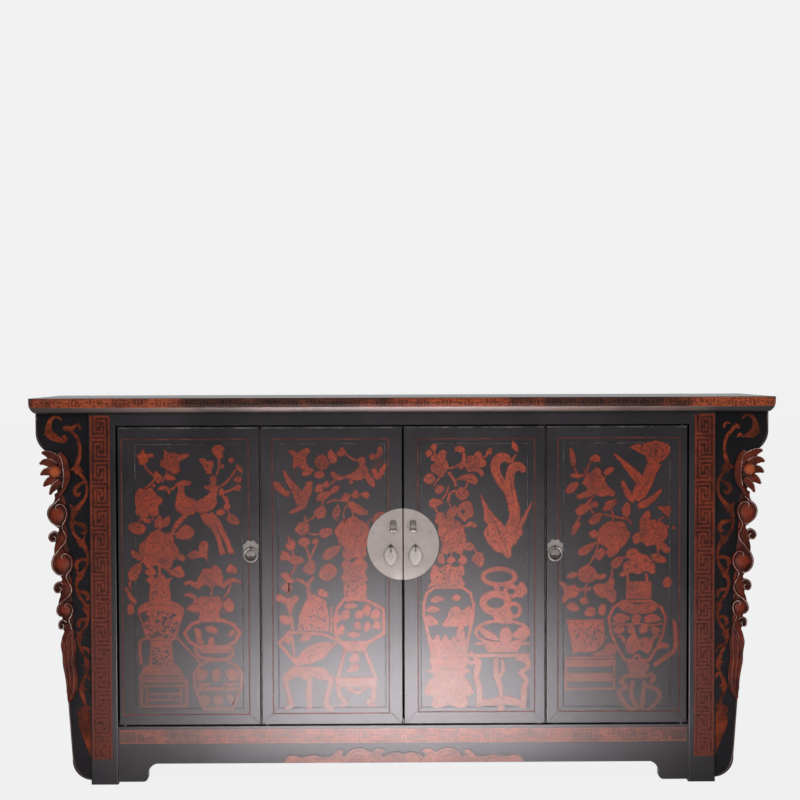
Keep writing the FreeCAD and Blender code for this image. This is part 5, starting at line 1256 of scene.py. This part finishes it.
# Right outer door: a bird coming down to peonies, a pot on a pile of books and a wine pot
# on a lotus foot
paint = dabs(
    ((44, 265), (48, 269), (53, 267), (53, 263), (47, 262)),
    ((38, 255), (41, 251), (45, 252), (48, 256), (53, 256), (55, 250), (58, 246), (60, 240), (63, 236),
     (68, 232), (67, 228), (61, 229), (55, 227.5), (48, 229), (42, 227), (36, 226), (31, 225.5),
     (31, 229), (38, 232), (41, 236), (36, 241), (39, 247)),
    ((76, 212), (78, 220), (82, 221), (84, 215), (82, 208), (78, 207)),
    ((83, 276), (88, 279), (95, 279), (100, 281), (108, 283), (115, 282), (122, 279), (123, 272),
     (119, 266), (112, 261), (106, 258), (101, 261), (99, 268), (94, 271), (88, 274)),
    ((111, 217), (117, 217), (123, 218), (124, 211), (121, 206), (118, 211)),
    ((54, 196), (59, 200), (64, 203), (70, 202), (75, 203), (79, 199), (81, 193), (84, 190), (81, 184),
     (78, 179), (74, 176), (68, 178), (62, 176), (57, 179), (51, 182), (52, 189)),
    ((43, 190), (47, 194), (52, 191), (50, 187), (45, 187)),
    ((60, 172), (63, 167), (67, 168), (72, 173), (73, 180), (65, 180)),
    ((94, 205), (98, 211), (102, 213), (104, 208), (103, 204), (108, 204), (114, 202), (119, 198),
     (121, 192), (120, 186), (116, 182), (120, 178), (124, 174), (120, 171), (114, 175), (108, 179),
     (101, 178), (95, 182), (90, 180), (86, 184), (89, 190), (93, 193), (93, 199)),
    ((80, 170), (84, 175), (90, 174.5), (92, 169), (88, 165), (82, 165)),
    ((105, 168), (110, 170), (117, 167), (119.5, 162), (114, 161), (108, 163)),
    ((78, 160), (84, 164), (92, 170), (98, 169), (104, 165), (108, 158), (107, 150), (99, 153),
     (92, 150), (84, 152), (78, 153)),
    ((32, 152), (36, 157), (43, 158.5), (49, 153), (50, 147), (45, 142), (38, 142), (33, 146)),
    ((13, 142), (17, 142), (22, 138), (28, 139), (31, 136), (38, 136), (45, 136), (40, 132), (34, 132),
     (29, 127), (23, 126), (17, 121), (16, 126), (18, 132)),
    ((47, 137), (52, 140), (58, 140), (63, 143), (67, 145), (68, 140), (67, 135), (70, 131), (68, 122),
     (64, 122), (60, 126), (54, 127), (50, 130), (48, 133)),
    ((20, 117), (25, 121), (31, 119), (32, 114), (26, 113)),
    ((33, 123), (38, 127), (42, 123), (38, 119)), ((38, 110), (43, 117), (49, 114), (46, 107)),
    ((52, 112), (55, 120), (59, 117), (57, 108)),
    ((47, 69), (55, 73), (62, 80), (69, 78), (69, 70), (60, 68)),
    ((72, 119), (80, 121), (92, 119), (104, 121), (112, 118), (106, 112), (92, 110), (78, 112)),
    ((80, 80), (84, 88), (88, 92), (92, 84), (98, 86), (104, 84), (106, 78), (102, 70), (94, 74),
     (86, 70), (80, 72)), ((117, 140), (120, 146), (124, 145), (125, 139), (120, 136)),
    ((80, 60), (86, 62), (98, 62), (103, 58), (100, 50), (104, 46), (80, 46), (83, 51)),
    ((67, 106), (72, 110), (79, 109), (83, 105), (77, 101), (70, 102)),
    ((86, 106), (90, 110), (95, 106), (92, 101), (87, 101)),
    ((98, 105), (104, 109), (111, 108), (115, 104), (107, 101), (101, 101)),
    ((68, 96), (73, 98.5), (78, 95), (75, 90), (69, 91)),
    ((81, 96), (85, 98), (89, 94), (86, 90), (82, 91)),
    ((93, 96), (98, 98), (102, 94), (98, 90), (94, 91)),
    ((105, 96), (110, 97), (114, 93), (110, 89), (106, 90)))
paint += sweeps(
    ((24, 276, 2), (26, 268, 5), (27, 261, 5), (28, 258, 2)),
    ((58, 250, 4), (63, 253.5, 6), (67, 256, 2)), ((24, 248, 2), (28, 249, 4), (33, 247, 3)),
    ((20, 232, 4), (25, 236, 8), (31, 241, 3)), ((30, 211, 5), (36, 214.5, 9), (43, 219, 4)),
    ((57, 214, 3), (63, 219, 8), (70, 223.5, 3)), ((43, 201, 4), (49, 205, 8), (55, 210.5, 3)),
    ((26, 189, 3), (29, 196, 6), (33, 202, 3)), ((55, 210, 1.2), (70, 207, 1.5), (83, 204, 2)),
    ((44, 225, 1.2), (45, 214, 1.4), (52, 206, 1.2)),
    ((109, 262, 12), (104, 252, 12), (100, 242, 12), (94, 233, 14), (88, 225, 9)),
    ((68, 270, 1.5), (76, 262, 4), (84, 254, 7), (91, 246, 9), (96, 238, 8)),
    ((76, 243, 3), (79, 235, 5), (83, 228, 7), (88, 224, 6)),
    ((92, 217, 5), (100, 221, 7), (108, 227, 5), (115, 234, 2)),
    ((32, 171, 4), (39, 174, 8), (47, 180, 3)), ((51, 165, 4), (54, 170, 8), (57, 175, 4)),
    ((65, 157, 5), (70, 161, 9), (75, 166, 4)), ((21, 147, 3), (26, 149, 5), (31, 150, 3)),
    ((50, 147, 4), (55, 147, 5), (59, 149, 2)), ((74, 148, 3), (79, 151, 5), (84, 153, 3)),
    ((71, 88, 2), (76, 86, 3), (79, 80, 3)), ((113, 88, 2), (108, 86, 3), (105, 80, 3)),
    ((66, 100, 1.2), (80, 99, 1.8), (92, 100, 1.2)), ((92, 100, 1.2), (104, 98, 1.8), (116, 100, 1.2)),
    ((126.5, 103, 2), (129, 97, 3.5), (129, 75, 4), (121, 67, 4), (108, 58, 3)),
    ((112, 76, 4), (117, 78, 5), (122, 77, 3)),
    ((81, 36, 3), (73, 32, 4), (76, 23, 4), (83, 15.5, 4), (91, 13, 3)),
    ((100, 37, 3), (110, 34, 4), (113.5, 27, 4), (108, 18, 4), (101, 13, 3)),
    ((87, 42, 4), (85, 29, 4), (91, 15, 4)), ((98, 42, 3), (97, 27, 4), (95, 14, 4)),
    ((80, 48, 2), (75, 42, 4), (80, 37, 3)), ((104, 50, 2), (108, 45, 4), (104, 40, 3)))
paint += dots((48.5, 219.5, 3.2), (121, 197, 1.6), (127, 196, 1.4), (90.5, 65, 4.2))
paint += sharp((20, 63.5), (66, 63.5), (66, 57), (20, 57))
paint += sharp((20, 50), (66, 50), (66, 42), (20, 42))
paint += rule(1.6, (19.5, 65.5), (19.5, 34.5), (68, 34.5), (68, 65.5))
paint += rule(1.6, (19.5, 66), (68, 66))
paint += sharp((23, 104), (57, 104), (58, 94), (57, 80), (48, 72), (28, 72), (25, 88))
paint += rule(1.8, (21, 105), (28, 71))
paint += rule(1.2, (26, 70), (60, 86))
paint += pot(91, ((14, 122.5), (24, 116), (28.5, 106), (26, 90), (20, 76), (12, 63)), 2.4)
paint += full_pot(92.5, ((12.5, 142), (12.5, 125)))
paint += rule(2.0, (81, 149), (82, 142))
paint += rule(2.0, (100, 150), (101, 142))
ground = speckle(46, ((24, 103), (56, 103), (55, 78), (29, 74)), 0.6, 1.5)
ground += speckle(30, ((81, 141), (104, 141), (104, 126), (81, 126)), 0.5, 1.0)
ground += speckle(26, ((80, 164), (105, 164), (105, 153), (80, 153)), 0.5, 1.1)
ground += speckle(16, ((93, 279), (118, 279), (115, 266), (102, 266)), 0.5, 1.2)
ground += dots((90.5, 65, 2.0), (85, 188, 1.6))
ground += speckle(10, ((78, 118), (106, 118), (104, 113), (80, 113)), 0.4, 0.9)
shade = veins(
    (32, 211, 42, 218), (59, 215, 69, 223), (45, 202, 54, 209), (34, 171, 45, 178), (52, 166, 56, 174),
    (66, 158, 74, 165), (107, 168, 118, 163), (22, 233, 30, 240), (78, 209, 81, 219),
    (82, 170, 91, 170))
shade += sweeps(
    ((88, 277, 0.6), (100, 272, 0.8), (110, 262, 0.7)),
    ((100, 279, 0.6), (108, 272, 0.8), (113, 263, 0.6)),
    ((112, 280, 0.6), (116, 274, 0.8), (116, 266, 0.6)),
    ((104, 250, 0.7), (100, 240, 0.9), (92, 230, 0.7)),
    ((80, 257, 0.6), (88, 248, 0.8), (95, 238, 0.6)), ((18, 137, 0.6), (26, 133, 0.8), (36, 134, 0.6)),
    ((52, 134, 0.6), (60, 134, 0.8), (67, 132, 0.6)), ((22, 60, 0.7), (44, 60.4, 0.8), (64, 60, 0.7)))
paint += stems(
    (92, 150, 93, 154), (67, 203, 63, 218), (48, 228, 38, 216), (41, 158, 52, 182), (41, 142, 39, 126),
    (44, 262, 41, 252), (27, 258, 32, 250), (29, 201, 34, 211), (80, 207, 86, 200),
    (118, 207, 112, 203), (75, 166, 82, 168), (47, 180, 54, 186), (112, 170, 110, 178),
    (63, 143, 66, 156), (32, 248, 38, 250))
pictures["right_outer"] = (paint, shade, ground)

# Each picture is laid in three coats over a thin dark edge that shows round every shape
EDGE_FILM = 0.00010  # thin dark edge
PICTURE_FILM = 0.00032  # vermilion
DRAWING_FILM = 0.00056  # drawing and black touches on it
for door, (paint, shade, ground) in pictures.items():
    shade += [group for row in PEONIES[door] for group in petals(*row)]
    corner = door_corner(door)
    lay_paint(door + "_painting_edge", paint, corner, UNIT, thin_red, door + "_door", EDGE_FILM,
              step=0.000004, spread=1.0)
    fresh = bright_vermilion if door == "right_inner" else vermilion
    lay_paint(door + "_painting", paint, corner, UNIT, fresh, door + "_door", PICTURE_FILM)
    lay_paint(door + "_drawing", shade, corner, UNIT, dark_red, door + "_door", DRAWING_FILM)
    lay_paint(door + "_touches", ground, corner, UNIT, ground_black, door + "_door", DRAWING_FILM)


# Hardware: a round lock plate cut in two, staples for a padlock bar, leaf pulls and
# rings in eyes, all of white brass gone dull; their shanks are clinched inside.
def white_brass(name, dull, bright, metallic, rough_from, seam=False):
    """Aged metal: dark in the hollows from tarnish and painted shade, rubbed bright on the edges,
    and with painted shade along the plate's seam.
    """
    material, tree, shader = coat(name, 0.24, 1.25, metallic)
    rubbed = placed(tree, hand_rubbed, Stretch=(1.0, 1.0, 1.0), Size=22.0)
    edges = placed(tree, worn_edges, Width=0.0012, Patch_Size=60.0, Keep=0.3)
    hollow = add(tree, "AmbientOcclusion", {"samples": 8}, Distance=0.007)
    tone = blend(tree, stretch(tree, rubbed["Cloud"], 0.25, 0.75), dull, bright)
    stain = maths(tree, "MULTIPLY", stretch(tree, rubbed["Mark"], 0.54, 0.70), 0.3)
    tone = blend(tree, stain, tone, (0.07, 0.057, 0.050))
    tone = blend(tree, maths(tree, "MULTIPLY", edges["Mask"], 0.5), tone, (0.30, 0.275, 0.255))
    # Darker in the hollows: tarnish, and painted shade round the pulls and staples
    tone = blend(tree, stretch(tree, hollow.outputs["AO"], 0.86, 0.45), tone, (0.018, 0.014, 0.012))
    # Painted shade along the seam, which widens the dark gap between the halves of the plate
    if seam:
        place = add(tree, "TexCoord")
        parts = add(tree, "SeparateXYZ")
        join(tree, place.outputs["Object"], parts.inputs[0])
        middle = stretch(tree, maths(tree, "ABSOLUTE", parts.outputs["X"], 0.0), 0.0024, 0.0010)
        tone = blend(tree, middle, tone, (0.02, 0.016, 0.014))
    join(tree, tone, shader.inputs["Base Color"])
    join(
        tree, stretch(tree, rubbed["Mark"], 0.3, 0.7, rough_from, rough_from + 0.02),
        shader.inputs["Roughness"])
    raised(tree, shader, rubbed["Mark"], 0.03, 0.0002)
    return material


plate_metal = white_brass("plate_metal", (0.330, 0.284, 0.266), (0.375, 0.328, 0.308), 0.5, 0.05, True)
pull_metal = white_brass("pull_metal", (0.380, 0.338, 0.316), (0.470, 0.425, 0.400), 0.5, 0.05)
ring_metal = white_brass("ring_metal", (0.110, 0.097, 0.088), (0.185, 0.166, 0.153), 0.1, 0.18)
dark_metal = white_brass("dark_metal", (0.030, 0.026, 0.024), (0.060, 0.052, 0.047), 0.1, 0.24)
LEAF = (
    (0, 24.5), (9.5, 15), (15.8, 1.0), (11.5, -13.5), (0, -25), (-11.5, -13.5), (-15.8, 1.0),
    (-9.5, 15))
BUD = ((0, 9), (4.6, 4), (4, -3), (0, -6), (-4, -3), (-4.6, 4))
LEAF_OUT = 0.030  # leaf pulls from the middle of the plate
for side, sign in HANDS:
    finish(plate_metal, side + "_lock_plate")
    finish(pull_metal, side + "_leaf_pull")
    finish(ring_metal, side + "_ring", side + "_ring_plate", side + "_lock_staple")
    finish(dark_metal, side + "_leaf_eye", side + "_ring_eye")
    motif = [line(smooth(BUD, 4, True), 1.0, True)]
    # The largest dot is painted shade over the hole that the eye passes through
    motif += dots((0.0, 2.5, 1.6), (0.0, -10.5, 1.1), (0.0, 12.5, 2.8))
    motif += [line(smooth([(0.94 * u, 0.94 * v + 1.5) for u, v in LEAF], 5, True), 1.5, True)]
    place = (sign * LEAF_OUT, front_of(side + "_leaf_pull")[1], 0.5545)
    piece = lay_paint(
        side + "_leaf_engraving_and_hole_shade", motif, place, MM, dark_metal, side + "_leaf_pull", film=0.0001)
    # A dark film on the plate round each leaf pull: its painted shadow
    painted_shadow = [[smooth([(1.16 * u, 1.12 * v) for u, v in LEAF], 5, True)]]
    place = (sign * LEAF_OUT, front_of(side + "_lock_plate")[1], 0.5560)
    piece = lay_paint(
        side + "_leaf_grime", painted_shadow, place, MM, dark_metal, side + "_inner_door", film=0.00005)

# Stage: a pale paper floor that runs out to a pale background, soft lamps, and white
# cards in front, one flat and the rest upright in rows, which the doors mirror as a haze.
pale = 0.8796  # tone of floor and background


def seen_directly(tree):
    """One for what the camera sees, also in metal, and nought for light that falls on things."""
    path = add(tree, "LightPath")
    mirrored = maths(tree, "MAXIMUM", path.outputs["Is Glossy Ray"], path.outputs["Is Transmission Ray"])
    return maths(tree, "MAXIMUM", path.outputs["Is Camera Ray"], mirrored)


world = bpy.data.worlds.new("studio")
bpy.context.scene.world = world
world.use_nodes = True
tree = world.node_tree
sky = blend(tree, seen_directly(tree), (0.62, 0.62, 0.64), (pale, pale, pale))
join(tree, sky, tree.nodes["Background"].inputs["Color"])

bpy.ops.object.select_all(action="DESELECT")
bpy.ops.mesh.primitive_plane_add(size=60.0, location=(0.0, 0.0, 0.0))
floor = bpy.context.object
floor.name = "studio_floor"
material, tree, shader = coat("floor_paper", 0.9)
shader.inputs["Base Color"].default_value = (0.8, 0.8, 0.8, 1.0)
glow = add(tree, "Emission", Color=(pale, pale, pale, 1.0))
mix = add(tree, "MixShader")
join(
    tree, maths(tree, "MULTIPLY", seen_directly(tree), 0.975), mix.inputs[0], shader.outputs[0],
    mix.inputs[1], glow.outputs[0], mix.inputs[2], mix.outputs[0],
    tree.nodes["Material Output"].inputs["Surface"])
floor.data.materials.append(material)


def lamp(name, place, aim, width, depth, watts):
    """A soft lamp that the camera doesn't see."""
    light = bpy.data.lights.new(name, "AREA")
    light.shape = "RECTANGLE"
    light.size = width
    light.size_y = depth
    light.energy = watts
    holder = bpy.data.objects.new(name, light)
    bpy.context.scene.collection.objects.link(holder)
    holder.location = place
    direction = Vector(aim) - Vector(place)
    holder.rotation_euler = direction.to_track_quat("-Z", "Y").to_euler()
    holder.visible_camera = False
    return holder


lamp("key_light", (-1.6, -3.6, 3.0), (0.0, 0.0, 0.5), width=1.8, depth=1.4, watts=90.0)
lamp("fill_light", (2.2, -3.4, 2.2), (0.0, 0.0, 0.5), width=1.6, depth=1.6, watts=45.0)
lamp("floor_card", (0.0, -1.35, 0.01), (0.0, -1.35, 1.0), width=0.9, depth=1.7, watts=58.0)
# Rows of cards that face the doors: how far in front, how tall, and their share of the strength
ROWS = (
    (0.30, 0.0494, 0.10), (0.55, 0.0817, 0.54), (1.0, 0.154, 1.10), (2.0, 0.134, 1.10),
    (3.0, 0.10, 0.45))
CARD = 0.13  # width of one card
HALF_COUNT = 6  # cards on each side of the middle one
HAZE_WIDTH = 0.51  # how far out the haze has faded to about a third
HAZE_MIDDLE = -0.005  # middle of the haze, a little left
STRENGTH = 94.0 / 2.25  # how bright the middle cards shine, before their row's share
doors_face = front_of("left_inner_door_panel")[1]
for number in range(-HALF_COUNT, HALF_COUNT + 1):
    across = CARD * number
    bright = STRENGTH * math.exp(-(across / HAZE_WIDTH) ** 2) * math.pi * CARD
    for away, tall, share in ROWS:
        place = (across + HAZE_MIDDLE, doors_face - away, tall / 2 + MM)
        card = lamp("card_%d_%d" % (number + HALF_COUNT + 1, away * 100), place, (place[0], 0.0, place[2]),
                    width=CARD, depth=tall, watts=bright * tall * share)
        card.data.spread = math.radians(120.0)
# The cards show in gloss only, and add no light to what is dull
for card in bpy.context.scene.objects:
    if "card" in card.name and card.type == "LIGHT":
        card.data.color = (1.0, 0.945, 0.975)
        card.visible_diffuse = False

# Camera: almost square to the front, a little above the top, with the frame shifted up
camera = bpy.data.cameras.new("camera")
camera.lens = 85.48
camera.sensor_width = 36.0
camera.shift_y = 0.0525
holder = bpy.data.objects.new("camera", camera)
bpy.context.scene.collection.objects.link(holder)
holder.location = (-0.0565, -4.8069, 1.0157)
holder.rotation_euler = (math.pi / 2 - 0.04, 0.00304, -0.01095)
bpy.context.scene.camera = holder
bpy.context.scene.view_settings.view_transform = "Standard"
